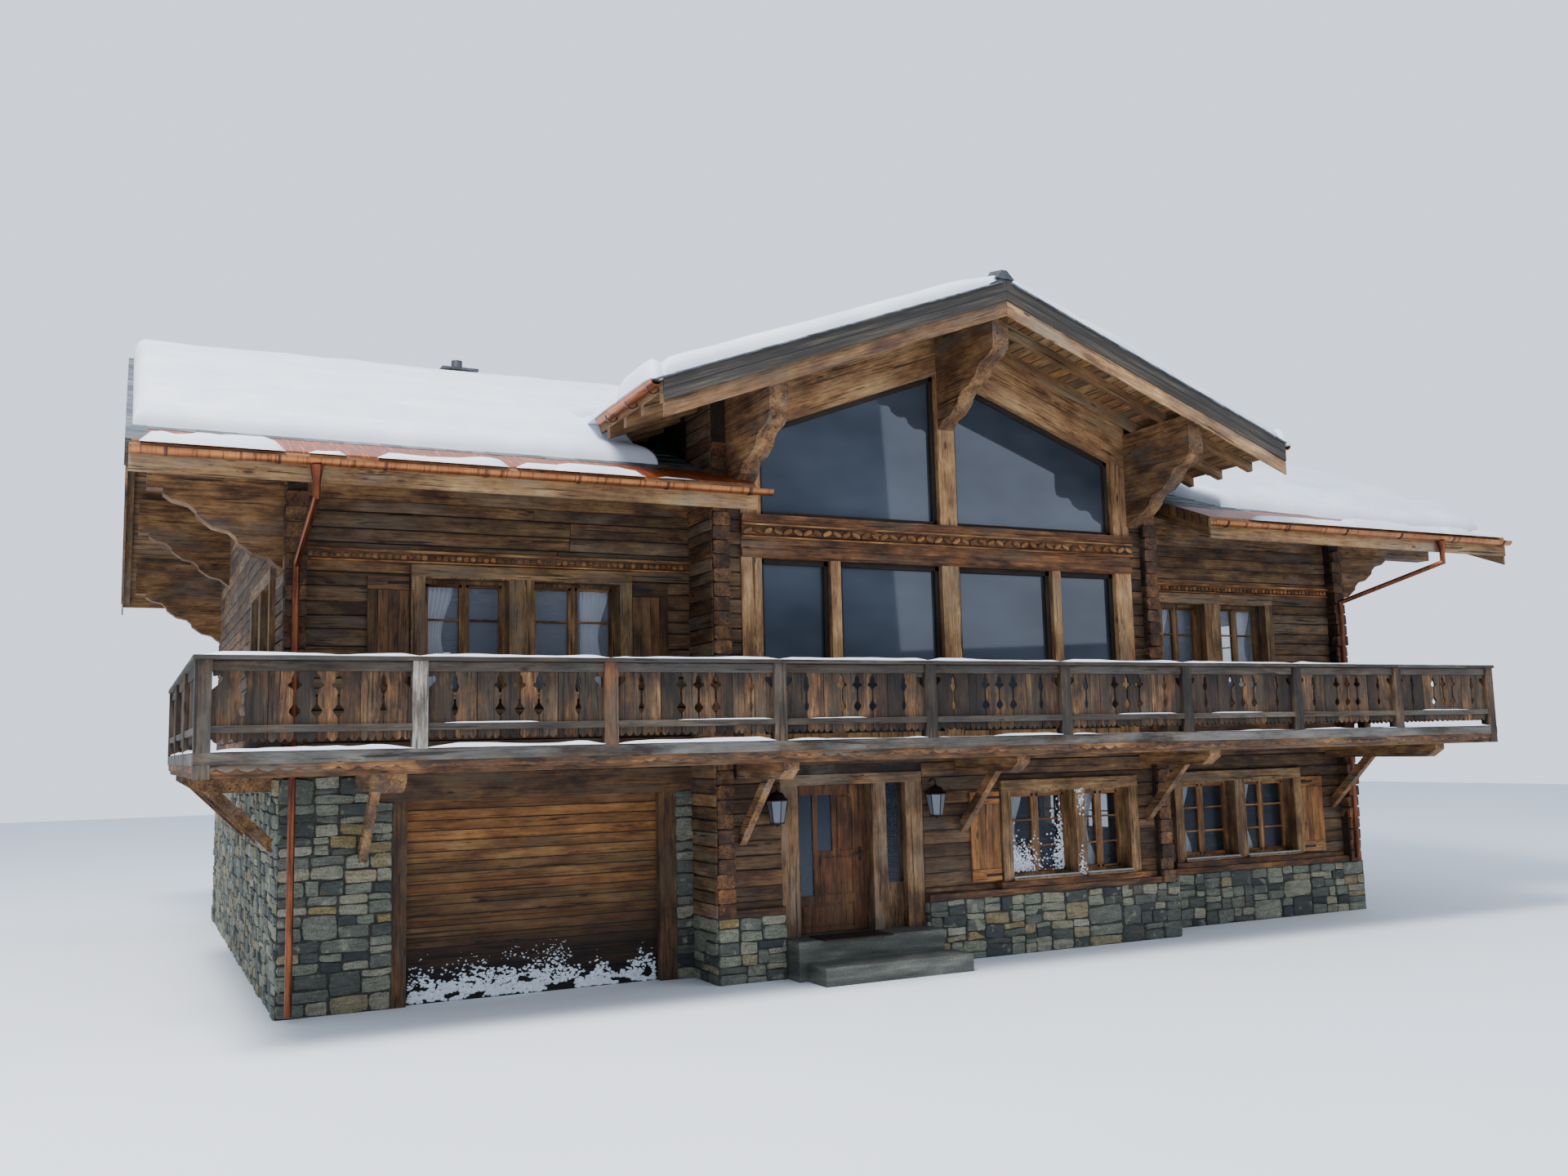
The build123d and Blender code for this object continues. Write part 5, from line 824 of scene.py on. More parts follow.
def lay_walls():
    """Hewn faces over every log wall."""
    rng = random.Random(SEED)
    top = main_top(FRONT, ROOF_DEEP) - 0.48
    centre_top = gable_top(3.5, SLATE_DECK) - 0.3
    flank_top = gable_top(CENTRE_HALF, SLATE_DECK)
    flank = (CENTRE_FRONT - 0.1, FRONT)
    depth = (FRONT - 0.15, BACK + 0.15)
    side_holes = hole_list(SIDE_UPPER, UPPER_LEVELS)
    entrance = [(*ENTRANCE, 0, ENTRANCE_TOP)]
    walls = (
        ("centre_log_faces", [
            ("x", CENTRE_FRONT, -1, -CENTRE_HALF, CENTRE_HALF, PLINTH_TOP, UPPER_FLOOR,
             hole_list(GROUND_CENTRE, GROUND_LEVELS) + entrance),
            ("x", CENTRE_FRONT, -1, -CENTRE_HALF, -3.30, UPPER_FLOOR, centre_top, []),
            ("x", CENTRE_FRONT, -1, 3.30, CENTRE_HALF, UPPER_FLOOR, centre_top, [])]),
        ("wing_log_faces", [
            ("x", FRONT, -1, LEFT + WALL_THICK, -CENTRE_HALF, STONE_TOP, top,
             hole_list(UPPER_LEFT, UPPER_LEVELS)),
            ("x", FRONT, -1, CENTRE_HALF, RIGHT - WALL_THICK, UPPER_FLOOR, top,
             hole_list(UPPER_RIGHT, UPPER_LEVELS))]),
        ("lower_wing_log_faces", [
            ("x", FRONT, -1, CENTRE_HALF, RIGHT - WALL_THICK, PLINTH_TOP, UPPER_FLOOR,
             hole_list(GROUND_WING, GROUND_LEVELS))]),
        ("side_log_faces", [
            ("y", LEFT, -1, *depth, STONE_TOP, RIDGE, side_holes, under_main),
            ("y", RIGHT, 1, *depth, PLINTH_TOP, RIDGE, side_holes + hole_list(SIDE_GROUND, GROUND_LEVELS),
             under_main),
            ("y", -CENTRE_HALF, -1, *flank, 0.82, flank_top, []),
            ("y", CENTRE_HALF, 1, *flank, PLINTH_TOP, flank_top, [])]),
        ("back_log_faces", [
            ("x", BACK, 1, LEFT + WALL_THICK, RIGHT - WALL_THICK, PLINTH_TOP, top,
             hole_list(BACK_UPPER, UPPER_LEVELS))]),
    )
    faces = {name: [place for row in rows for place in wall_logs(rng, *row)] for name, rows in walls}
    # The ground floor's log faces take the darker copy of the logs: painted shade
    for name, finish in (("centre_log_faces", "shaded_ground_logs"), ("lower_wing_log_faces", "shaded_ground_logs"),
                         ("wing_log_faces", "logs"), ("side_log_faces", "logs"), ("back_log_faces", "logs")):
        lay(name, BEAM, faces[name], finish, 0.022, 2.2)


def split_face(a, b, low, high, rng):
    """Splits a rectangle of wall into stones of uneven sizes."""
    wide = b - a
    tall = high - low
    big = rng.random() < 0.22
    if wide <= (0.66 if big else 0.42) and tall <= (0.32 if big else 0.19):
        return [(a, b, low, high)]
    share = rng.uniform(0.3, 0.7)
    if wide / 2.1 > tall:
        cut = a + share * wide
        return split_face(a, cut, low, high, rng) + split_face(cut, b, low, high, rng)
    cut = low + share * tall
    return split_face(a, b, low, cut, rng) + split_face(a, b, cut, high, rng)


def stone_face(rng, axis, face, out, a, b, low, high):
    """Field stones over one face of a wall."""
    places = []
    for p, q, z0, z1 in split_face(a, b, low, high, rng):
        deep = rng.uniform(0.07, 0.12)
        across = face + out * (rng.uniform(0.012, 0.034) - deep / 2)
        turn = (rng.uniform(-0.03, 0.03), rng.uniform(-0.05, 0.05), QUARTER[axis] + rng.uniform(-0.03, 0.03))
        gap = rng.uniform(0.001, 0.009)
        places.append(placed(rng, spot(axis, (p + q) / 2, across, (z0 + z1) / 2),
                             (q - p - gap, deep, z1 - z0 - gap), turn))
    return places


def lay_stone():
    """The masonry: garage front, side wall and plinths."""
    rng = random.Random(SEED + 1)
    out = -PLINTH_OUT
    walls = (
        ("front_stones", [
            ("x", FRONT, -1, LEFT, GARAGE_POSTS[0], 0, GARAGE_HEAD),
            ("x", FRONT, -1, LEFT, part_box("garage_frame")[0].x, GARAGE_HEAD, STONE_TOP),
            ("x", FRONT, -1, GARAGE_POSTS[1], -CENTRE_HALF, 0, GARAGE_HEAD),
            ("x", CENTRE_FRONT + out, -1, -CENTRE_HALF, ENTRANCE[0], 0, PLINTH_TOP),
            ("x", CENTRE_FRONT + out, -1, ENTRANCE[1], CENTRE_HALF + PLINTH_OUT, 0, PLINTH_TOP),
            ("x", FRONT + out, -1, CENTRE_HALF + PLINTH_OUT, RIGHT + PLINTH_OUT, 0, PLINTH_TOP),
            ("y", -CENTRE_HALF, -1, CENTRE_FRONT + out, FRONT, 0, PLINTH_TOP),
            ("y", CENTRE_HALF + PLINTH_OUT, 1, CENTRE_FRONT + out, FRONT + out, 0, PLINTH_TOP),
            ("y", ENTRANCE[1], -1, CENTRE_FRONT + out, CENTRE_FRONT, 0, PLINTH_TOP)]),
        ("side_stones", [("y", LEFT, -1, FRONT, BACK - WALL_THICK, 0, STONE_TOP)]),
        ("plinth_stones", [
            ("y", RIGHT + PLINTH_OUT, 1, FRONT + out, BACK + PLINTH_OUT, 0, PLINTH_TOP),
            ("x", BACK + PLINTH_OUT, 1, LEFT, RIGHT + PLINTH_OUT, 0, PLINTH_TOP),
            ("y", LEFT, -1, BACK - WALL_THICK, BACK + PLINTH_OUT, 0, PLINTH_TOP),
            ("y", LEFT, -1, BACK - WALL_THICK, BACK, PLINTH_TOP, STONE_TOP)]),
    )
    for name, rows in walls:
        places = [place for row in rows for place in stone_face(rng, *row)]
        lay(name, STONE, places, "stone", 0.06, 6.0, sharp=50)


class Shape:
    """Points and faces of one piece, with each part's tint and its place along the grain."""

    def __init__(self):
        self.points = []
        self.faces = []
        self.tints = []
        self.own = []

    def add(self, points, faces, tint=0.5, own=None):
        first = len(self.points)
        self.points += points
        self.faces += [[first + index for index in face] for face in faces]
        self.tints += [tint] * len(points)
        self.own += own or points

    def plate(self, outline, place, thick, tint, upright=True):
        """A flat board from an outline of (u, v) points; place gives the point for u, v and depth w."""
        corners = [(u, v, w) for w in (-thick / 2, thick / 2) for u, v in outline]
        count = len(outline)
        faces = [list(range(count)), list(range(2 * count - 1, count - 1, -1))]
        faces += [[k, (k + 1) % count, count + (k + 1) % count, count + k] for k in range(count)]
        self.add([place(*corner) for corner in corners], faces, tint,
                 [(v, u, w) if upright else (u, v, w) for u, v, w in corners])

    def rings(self, rings, tint=0.5):
        """Skins rings of equal length, one after another, with both ends closed."""
        count = len(rings[0])
        points = [point for ring in rings for point in ring]
        faces = []
        for row in range(len(rings) - 1):
            for k in range(count):
                a = row * count + k
                b = row * count + (k + 1) % count
                faces.append([a, b, b + count, a + count])
        faces += [list(range(count)), list(range(len(points) - 1, len(points) - count - 1, -1))]
        self.add(points, faces, tint)

    def turned(self, profile, centre, sides):
        """A turned form from (radius, height) pairs about a vertical axis."""
        x, y, z = centre
        turns = [math.tau * k / sides for k in range(sides)]
        self.rings([[(x + radius * math.cos(t), y + radius * math.sin(t), z + height) for t in turns]
                    for radius, height in profile])

    def box(self, low, high):
        corners = [(x, y, z) for x in (low[0], high[0]) for y in (low[1], high[1]) for z in (low[2], high[2])]
        self.add(corners, [[0, 1, 3, 2], [4, 6, 7, 5], [0, 4, 5, 1],
                           [2, 3, 7, 6], [0, 2, 6, 4], [1, 5, 7, 3]])

    def made(self, name, finish, weld=0.0, sharp=35.0, hides=()):
        """The finished piece, with points nearer than weld joined."""
        mesh = bpy.data.meshes.new(name)
        mesh.from_pydata(self.points, [], self.faces)
        mesh.attributes.new("tint", "FLOAT", "POINT").data.foreach_set("value", self.tints)
        mesh.attributes.new("own", "FLOAT_VECTOR", "POINT").data.foreach_set(
            "vector", [value for point in self.own for value in point])
        form = bmesh.new()
        form.from_mesh(mesh)
        if weld:
            bmesh.ops.remove_doubles(form, verts=form.verts, dist=weld)
        bmesh.ops.recalc_face_normals(form, faces=form.faces)
        form.to_mesh(mesh)
        form.free()
        return finished(name, mesh, finish, sharp, hides)


def teeth(start, end, low, wide=TOOTH_WIDE):
    """A toothed lower edge from start to end."""
    count = max(1, round((end - start) / wide))
    step = (end - start) / count
    return [(start, low + TOOTH_HIGH)] + [(start + (index + a) * step, low + b * TOOTH_HIGH)
                                          for index in range(count) for a, b in TOOTH]


def slat_edge(kind, edge, side, base):
    """Points up one edge of a slat that lies on the given side of it."""
    if kind == "plain":
        return []
    table, half, high, up = CUTS[kind]
    return [(edge + side * (SLAT_GAP + wide * half), base + up + share * high) for share, wide in table]


def fretwork(shape, start, end, bays, place, rng):
    """The slats of a whole side, bay by bay."""
    top = RAIL_TOP - 0.16
    base = RAIL_BOTTOM + 0.25
    for bay in range(bays):
        a = start + (end - start) * bay / bays + RAIL_POST / 2
        b = start + (end - start) * (bay + 1) / bays - RAIL_POST / 2
        edges = [a + share * (b - a) for share in SLAT_SHARES]
        for left, right, kind, next_kind in zip(edges, edges[1:], SLAT_EDGES, SLAT_EDGES[1:]):
            outline = teeth(left + SLAT_GAP, right - SLAT_GAP, RAIL_BOTTOM + rng.uniform(-0.004, 0.004))
            outline += slat_edge(next_kind, right, -1, base)
            outline += [(right - SLAT_GAP, top), (left + SLAT_GAP, top)]
            outline += slat_edge(kind, left, 1, base)[::-1]
            sway = rng.uniform(-0.003, 0.003)
            shape.plate(outline, lambda u, v, w: place(u, v, w + sway), SLAT_THICK, rng.random())


def edge_boards(shape, start, end, place, rng):
    """Boards with a toothed lower edge along the deck."""
    count = round((end - start) / 2.1)
    for index in range(count):
        a = start + (end - start) * index / count + 0.002
        b = start + (end - start) * (index + 1) / count - 0.002
        outline = teeth(a, b, EDGE_BOARD_LOW, WAVE_WIDE) + [(b, DECK_TOP - 0.02), (a, DECK_TOP - 0.02)]
        shape.plate(outline, place, 0.024, rng.random(), upright=False)


def rail_parts(start, end, bays, line, out, axis, posts, rng):
    """Posts, cap, beam and middle rail of one side: lists of places for the blocks."""
    turn = (0, 0, QUARTER[axis])
    stations = [start + (end - start) * k / bays for k in range(bays + 1)]
    uprights = []
    rails = []
    for index in posts:
        corner = axis == "x" and index in (0, bays)
        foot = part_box("balcony_fascia")[0].z if corner else DECK_TOP
        high = RAIL_TOP - 0.05 - foot
        uprights.append(placed(rng, spot(axis, stations[index], line, foot + high / 2),
                               (high, RAIL_POST, RAIL_POST), (0, -math.pi / 2, rng.uniform(-0.01, 0.01))))
    for a, b in zip(stations, stations[1:]):
        mid = (a + b) / 2
        run = b - a
        first = 0.1 if a == start and 0 in posts else 0
        last = 0.1 if b == end and axis == "x" else 0
        clear = run - 0.15
        rails.append(placed(rng, spot(axis, mid + (last - first) / 2, line, RAIL_TOP - RAIL_CAP[1] / 2),
                            (run + first + last - 0.003, *RAIL_CAP), turn))
        rails.append(placed(rng, spot(axis, mid, line, RAIL_TOP - 0.105), (clear, *RAIL_BEAM), turn))
        rails.append(placed(rng, spot(axis, mid, line + out * 0.04, RAIL_BOTTOM + 0.137),
                            (clear, *MIDDLE_RAIL), turn))
    return uprights, rails


def lay_balcony():
    """The balustrade's slats, posts and rails, the deck's planks and its toothed edge."""
    rng = random.Random(SEED + 2)
    low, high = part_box("balustrade_front")
    line = (low.y + high.y) / 2
    front = (low.x + 0.1, high.x - 0.1, FRONT_BAYS)
    sides = (line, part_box("balustrade_left")[1].y - RAIL_POST / 2, SIDE_BAYS)
    slats = Shape()
    fretwork(slats, *front, lambda u, v, w: (u, line + w, v), rng)
    slats.made("front_slats", "fret", hides=("balustrade_front",))
    rows = []
    for name, out in (("left", -1), ("right", 1)):
        near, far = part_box("balustrade_" + name)
        x = (near.x + far.x) / 2
        rows.append((x, out))
        slats = Shape()
        fretwork(slats, *sides, lambda u, v, w: (x + w, u, v), rng)
        slats.made(name + "_slats", "fret", hides=("balustrade_" + name,))
    posts, rails = rail_parts(*front, line, -1, "x", range(FRONT_BAYS + 1), rng)
    for x, out in rows:
        more_posts, more_rails = rail_parts(*sides, x, out, "y", range(1, SIDE_BAYS + 1), rng)
        posts += more_posts
        rails += more_rails
    flaking = posts.pop(1)
    brown = posts.pop(1)
    for name, some, finish in (("rail_posts", posts, "rail_posts"), ("brown_post", [brown], "brown_post"),
                               ("flaking_post", [flaking], "flaking")):
        lay(name, SHORT_BEAM, some, finish, 0.006, 3.0)
    lay("rails", BEAM, rails, "rail", 0.010, 2.5)
    edge = Shape()
    low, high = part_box("balcony_fascia")
    edge_boards(edge, low.x, high.x, lambda u, v, w: (u, low.y + 0.006 + w, v), rng)
    for x, out in ((low.x, 1), (high.x, -1)):
        edge_boards(edge, low.y, BALCONY_BACK, lambda u, v, w: (x + out * (0.006 + w), u, v), rng)
    edge.made("edge_boards", "edge")
    planks = []
    deck = DECK_TOP + 0.002
    wide = FRONT_DECK_DEEP / FRONT_PLANKS
    for row in range(FRONT_PLANKS):
        y = BALCONY_FRONT + DECK_MARGIN + (row + 0.5) * wide
        for p, q in cut_lengths(BALCONY_LEFT + DECK_MARGIN, BALCONY_RIGHT - DECK_MARGIN, rng):
            planks.append(placed(rng, ((p + q) / 2, y, deck), (q - p - 0.004, wide - PLANK_GAP, PLANK_THICK)))
    for x0, x1 in ((BALCONY_LEFT + DECK_MARGIN, LEFT - 0.02), (RIGHT + 0.02, BALCONY_RIGHT - DECK_MARGIN)):
        wide = (x1 - x0) / SIDE_PLANKS
        for row in range(SIDE_PLANKS):
            planks.append(placed(rng, (x0 + (row + 0.5) * wide, (FRONT - 0.7 + BALCONY_BACK) / 2, deck),
                                 (BALCONY_BACK - FRONT + 0.68, wide - PLANK_GAP, PLANK_THICK),
                                 (0, 0, math.pi / 2)))
    lay("deck_planks", BOARD, planks, "deck_board")


def snow_strip(shape, start, end, across, wide, high, seed, ragged):
    """A ridge of snow from start to end, as wide as given across, that thins out here and there."""
    start = Vector(start)
    end = Vector(end)
    across = Vector(across).normalized()
    length = (end - start).length
    count = max(5, int(length / 0.11))
    rings = []
    for index in range(count + 1):
        share = index / count
        place = start.lerp(end, share)
        lump = noise.noise(Vector((share * length * 1.1, seed, 0)))
        lump += 0.4 * noise.noise(Vector((share * length * 4, seed, 5)))
        level = max(0.06, min(1.0, 1.0 - ragged * 0.5 + ragged * lump * 1.6))
        level *= min(1.0, 0.1 + 3.0 * math.sin(math.pi * share))
        half = wide / 2 * (0.55 + 0.45 * level)
        ring = [(-1, 0.0), (-0.86, 0.55), (-0.3, 1.0), (0.4, 0.92), (0.88, 0.5), (1, 0.0)]
        rings.append([tuple(place + across * (u * half) + Vector((0, 0, v * high * level))) for u, v in ring])
    shape.rings(rings)


def edge_snow():
    """Snow on the rail cap, the middle rail, the deck's edge, the posts' feet, the gutters and the beams."""
    rng = random.Random(SEED + 3)
    shape = Shape()

    def strip(axis, a, b, across, z, *form, lean=0):
        side = (0, 1, lean) if axis == "x" else (1, 0, 0)
        snow_strip(shape, spot(axis, a, across, z), spot(axis, b, across, z), side, *form)

    low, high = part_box("balustrade_front")
    line = (low.y + high.y) / 2
    step = (high.x - low.x - 0.2) / FRONT_BAYS
    cap = RAIL_TOP - 0.004
    deck = DECK_TOP + 0.008
    for bay in range(FRONT_BAYS):
        a = low.x + 0.1 + bay * step
        strip("x", a - 0.05, a + step + 0.05, line, cap, 0.19, 0.042, bay * 3.1, 0.35)
        if bay not in (0, 4, 7):
            near = a + 0.1 + rng.uniform(0.0, 0.5) * step
            far = min(near + rng.uniform(0.3, 0.6) * step, a + step - 0.1)
            strip("x", near, far, line - 0.045, RAIL_BOTTOM + 0.173, 0.035, 0.013, bay * 5.7 + 20, 0.8)
        tall, ragged = (0.05, 0.5) if bay < 3 else (0.03, 1.1)
        strip("x", a + 0.06, a + step - 0.06, line - 0.03, deck, 0.16, tall, bay * 7.3 + 40, ragged)
    for name in ("balustrade_left", "balustrade_right"):
        near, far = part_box(name)
        x = (near.x + far.x) / 2
        strip("y", near.y, far.y, x, cap, 0.19, 0.042, near.x, 0.35)
        strip("y", near.y, far.y, x, deck, 0.16, 0.045, near.x + 9, 0.6)
    lip = main_top(EAVE)
    for a, b, wide, tall in ((-10.55, -9.1, 0.34, 0.16), (-8.85, -8.45, 0.16, 0.05), (-8.1, -6.6, 0.28, 0.10),
                             (-6.5, -5.9, 0.20, 0.07), (-6.1, -4.9, 0.28, 0.10), (-4.7, -4.2, 0.12, 0.03),
                             (5.2, 7.4, 0.26, 0.09), (7.1, 9.7, 0.30, 0.14), (9.5, 11.1, 0.34, 0.16)):
        strip("x", a, b, -EAVE - 0.02, lip, wide, tall, rng.random() * 50, 0.4, lean=0.2)
    z = gable_top(GABLE_EAVE) - 0.02
    for side in (-1, 1):
        x = side * (GABLE_EAVE + 0.06)
        strip("y", GABLE_VERGE - 0.03, -6.7, x, z, 0.26, 0.30, side * 7.0, 0.1)
        strip("y", -6.9, -4.6, x, z, 0.24, 0.20, side * 9.0, 0.3)
    shape.made("edge_snow", "snow", sharp=80)


def lay_blown_snow():
    """Blown snow on the garage door's foot, on a window and its post, and on the sills."""
    rng = random.Random(SEED + 8)
    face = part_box("garage_door")[0].y - 0.004
    door_left, door_wide = -7.44, 3.17
    crumbs = []
    while len(crumbs) < DOOR_CRUMBS:
        x = rng.uniform(door_left, door_left + door_wide)
        share = (x - door_left) / door_wide
        crest = 0.24 + 0.22 * math.sin(math.pi * min(1.0, share * 1.25))
        crest += 0.5 * noise.noise(Vector((x * 2.4, 1, 1)))
        z = 0.02 + abs(rng.gauss(0, 0.5)) * max(0.08, crest)
        if z > 0.66 or noise.noise(Vector((x * 4, z * 9, 3))) < -0.25:
            continue
        size = rng.uniform(0.008, 0.036) * (1.35 - 1.7 * z)
        crumbs.append(placed(rng, (x, face, z), (size * 1.7, 0.02, size), (0, rng.uniform(-0.6, 0.6), 0)))
    left, right = GROUND_CENTRE[0]
    low, high = GROUND_LEVELS
    pane_face = CENTRE_FRONT + FRAME_SETBACK + 0.005
    for k in range(PANE_CRUMBS):
        x = left + 0.10 + abs(rng.gauss(0, 0.24)) if k % 3 else right - 0.10 - abs(rng.gauss(0, 0.10))
        z = low + 0.08 + abs(rng.gauss(0, 0.20 if k % 3 else 0.42))
        if not left + 0.08 < x < right - 0.08 or z > high - 0.1:
            continue
        size = rng.uniform(0.008, 0.036)
        crumbs.append(placed(rng, (x, pane_face, z), (size * 1.2, 0.016, size), (0, rng.uniform(-1, 1), 0)))
    post_x = (right + GROUND_CENTRE[1][0]) / 2
    for k in range(POST_CRUMBS):
        z = low - 0.02 + abs(rng.gauss(0, 0.16)) if k % 2 else high - abs(rng.gauss(0, 0.2))
        crumbs.append(placed(rng, (post_x + rng.gauss(0, 0.035), CENTRE_FRONT - 0.083, z),
                             (rng.uniform(0.008, 0.03), 0.012, rng.uniform(0.01, 0.04)),
                             (0, rng.uniform(-1, 1), 0)))
    lay("blown_snow", CRUMB, crumbs, "frost", 0.012, 9.0, sharp=80)


def smooth_step(value):
    value = max(0.0, min(1.0, value))
    return value * value * (3 - 2 * value)


def eased(index, count):
    """A share from 0 to 1 that crowds its steps at both ends."""
    return 0.5 - 0.5 * math.cos(math.pi * index / count)


def snow_field(name, sides, rows_range, thick, grain, hides=(), ledge=0.0):
    """A field of snow. rows_range is (start, end) of v, sides(v) the two edges in u, and grain(u, v, t) the
    point at that place with thickness t. One with a ledge runs down from the ridge, and is thinner below its
    ledge; one without runs back from the verge."""
    shape = Shape()
    tops = []
    bases = []
    start, end = rows_range
    for row in range(SNOW_ROWS + 1):
        share = math.sin(math.pi / 2 * row / SNOW_ROWS) if ledge else eased(row, SNOW_ROWS)
        v = start + (end - start) * share
        u0, u1 = sides(v)
        rim = abs(end - v) if ledge else abs(v - start)
        for column in range(SNOW_COLUMNS + 1):
            u = u0 + (u1 - u0) * eased(column, SNOW_COLUMNS)
            wave = 0.07 * noise.noise(Vector((u * 0.9, v * 0.3, 3)))
            wave += 0.03 * noise.noise(Vector((u * 3.1, 8, v)))
            v_here = v + wave * (smooth_step(share) if ledge else 2 * share - 1)
            distance = max(0.0, min((u - u0) * 1.2, (u1 - u) * 1.2, rim))
            depth = thick * (1 - (1 - min(1.0, distance / 0.24)) ** 2.6) ** (1 / 2.6)
            if ledge:
                step = 0.42 + 0.16 * noise.noise(Vector((u * 0.5, 6, 2)))
                depth *= ledge + (1 - ledge) * smooth_step((rim - step) / 0.09)
                crease = 1.05 + 0.5 * noise.noise(Vector((u * 0.35, 2, 7)))
                crease_deep = 0.30 * (0.55 + noise.noise(Vector((u * 0.4, 3, 3))))
                depth *= 1 - crease_deep * math.exp(-((rim - crease) / 0.12) ** 2)
            swell = 0.16 * noise.noise(Vector((u * 0.35, v * 0.5, 1)))
            depth *= 1 + swell + 0.05 * noise.noise(Vector((u * 1.7, v * 1.9, 4)))
            tops.append(grain(u, v_here, depth))
            bases.append(grain(u, v_here, 0.0))
    width = SNOW_COLUMNS + 1
    count = len(tops)
    faces = []
    for row in range(SNOW_ROWS):
        for column in range(SNOW_COLUMNS):
            a = row * width + column
            quad = [a, a + 1, a + width + 1, a + width]
            faces += [quad, [count + index for index in reversed(quad)]]
    border = list(range(width))
    border += [row * width + SNOW_COLUMNS for row in range(1, SNOW_ROWS + 1)]
    border += [SNOW_ROWS * width + column for column in range(SNOW_COLUMNS - 1, -1, -1)]
    border += [row * width for row in range(SNOW_ROWS - 1, 0, -1)]
    faces += [[a, b, count + b, count + a] for a, b in zip(border, border[1:] + border[:1])]
    shape.add(tops + bases, faces)
    shape.made(name, "snow", 0.0006, 80, hides)


def lay_snow():
    """The snow fields on the main roof and on the cross gable."""
    reach = EAVE - SNOW_BACK
    far_left = VERGE_LEFT + 0.03
    far_right = VERGE_RIGHT - 0.03

    def main_point(u, v, t):
        soft = 0.09 * math.exp(-(v / RIDGE_SOFT) ** 2) * (t / SNOW_THICK)
        return (u, v, main_top(v) + t * 1.07 - soft)

    def right_point(u, v, t):
        return main_point(u, v * (1 + 0.085 * smooth_step((u - 6.0) / 3.0)), t)

    def gable_point(u, v, t):
        soft = 0.088 * math.exp(-(u / 0.4) ** 2) * (t / GABLE_SNOW_THICK)
        return (u, v, gable_top(u) + t * 1.05 - soft)

    def valley(v, widening):
        """How far from the middle the snow ends: along the valley, and below it by the gable's wall."""
        if v < VALLEY_END:
            return max(0.02, 5.0 + widening * (VALLEY_END - v))
        return max(0.02, (abs(v) + 0.1) / VALLEY_SLOPE)

    snow_field("left_roof_snow", lambda v: (far_left, -valley(v, -0.42)), (0.0, -reach), SNOW_THICK,
               main_point, ("roof_snow_main",), 0.6)
    snow_field("right_roof_snow", lambda v: (valley(v, 0.35), far_right), (0.0, -reach), SNOW_THICK,
               right_point, ledge=0.66)
    snow_field("back_roof_snow", lambda v: (far_left, far_right), (0.0, reach), SNOW_THICK, main_point,
               ledge=0.66)
    snow_field("gable_snow", lambda v: (-GABLE_EAVE + 0.02, GABLE_EAVE - 0.02), (GABLE_VERGE + 0.02, -0.2),
               GABLE_SNOW_THICK, gable_point, ("roof_snow_gable",))


def slates_on(places, x0, x1, y0, y1, rng):
    """Slates in courses over part of a main slope."""
    side = 1 if y0 < 0 else -1
    rows = max(1, round(abs(y1 - y0) / 0.16))
    for row in range(rows):
        y = y0 + (row + 0.5) * (y1 - y0) / rows
        x = x0 - rng.uniform(0, 0.15)
        while x < x1:
            wide = rng.uniform(0.16, 0.30)
            places.append(placed(rng, (x + wide / 2, y, main_top(y) + 0.004 + 0.004 * (row % 2)),
                                 (wide - 0.005, 0.30 + rng.uniform(-0.03, 0.03), 0.014),
                                 (side * (math.atan(PITCH) - 0.03), 0, rng.uniform(-0.03, 0.03))))
            x += wide


def lay_slates():
    """Bare slates beside the gable and along the eaves and verges."""
    rng = random.Random(SEED + 4)
    places = []
    reach = EAVE - SNOW_BACK
    for x0, x1, y0, y1 in ((-5.2, SLATES_LEFT_END, -reach, SLATES_BACK), (3.9, 5.6, -reach, SLATES_BACK),
                           (VERGE_LEFT + 0.1, SLATES_LEFT_END, -reach - 0.18, -reach + 0.05),
                           (SLATES_RIGHT_START, VERGE_RIGHT - 0.1, -reach - 0.18, -reach + 0.05),
                           (VERGE_LEFT + 0.1, VERGE_RIGHT - 0.1, reach + 0.18, reach - 0.05)):
        slates_on(places, x0, x1, y0, y1, rng)
    tilt = math.atan(GABLE_PITCH)
    edge = GABLE_EAVE - 0.06
    for side in (-1, 1):
        x = 0.1
        while x < GABLE_EAVE:
            wide = rng.uniform(0.16, 0.28)
            middle = x + wide / 2
            places.append(placed(rng, (side * middle, GABLE_VERGE + 0.05, gable_top(middle) + 0.006),
                                 (wide + 0.04, 0.22, 0.02), (0, side * tilt + rng.uniform(-0.01, 0.03), 0)))
            x += wide
        for k in range(-32, -18):
            places.append(placed(rng, (side * edge, k * 0.24, gable_top(edge) + 0.006), (0.2, 0.235, 0.016),
                                 (0, side * tilt, 0)))
    for x in (VERGE_LEFT + 0.07, VERGE_RIGHT - 0.07):
        for k in [k for k in range(-28, 29) if k]:
            places.append(placed(rng, (x, k * 0.243, main_top(k * 0.243) + 0.008), (0.22, 0.25, 0.02),
                                 (math.copysign(math.atan(PITCH), -k), 0, 0)))
    lay("edge_slates", BOARD, places, "slate", 0.006, 5.0)
    return rng


def half_ring(inner):
    """The section of a gutter bracket: a half ring with the given inner radius."""
    turns = [math.pi + math.pi * step / 10 for step in range(11)]
    return ([(math.cos(t) * BRACKET_OUTER, math.sin(t) * BRACKET_OUTER) for t in turns]
            + [(math.cos(t) * inner, math.sin(t) * inner) for t in reversed(turns)])


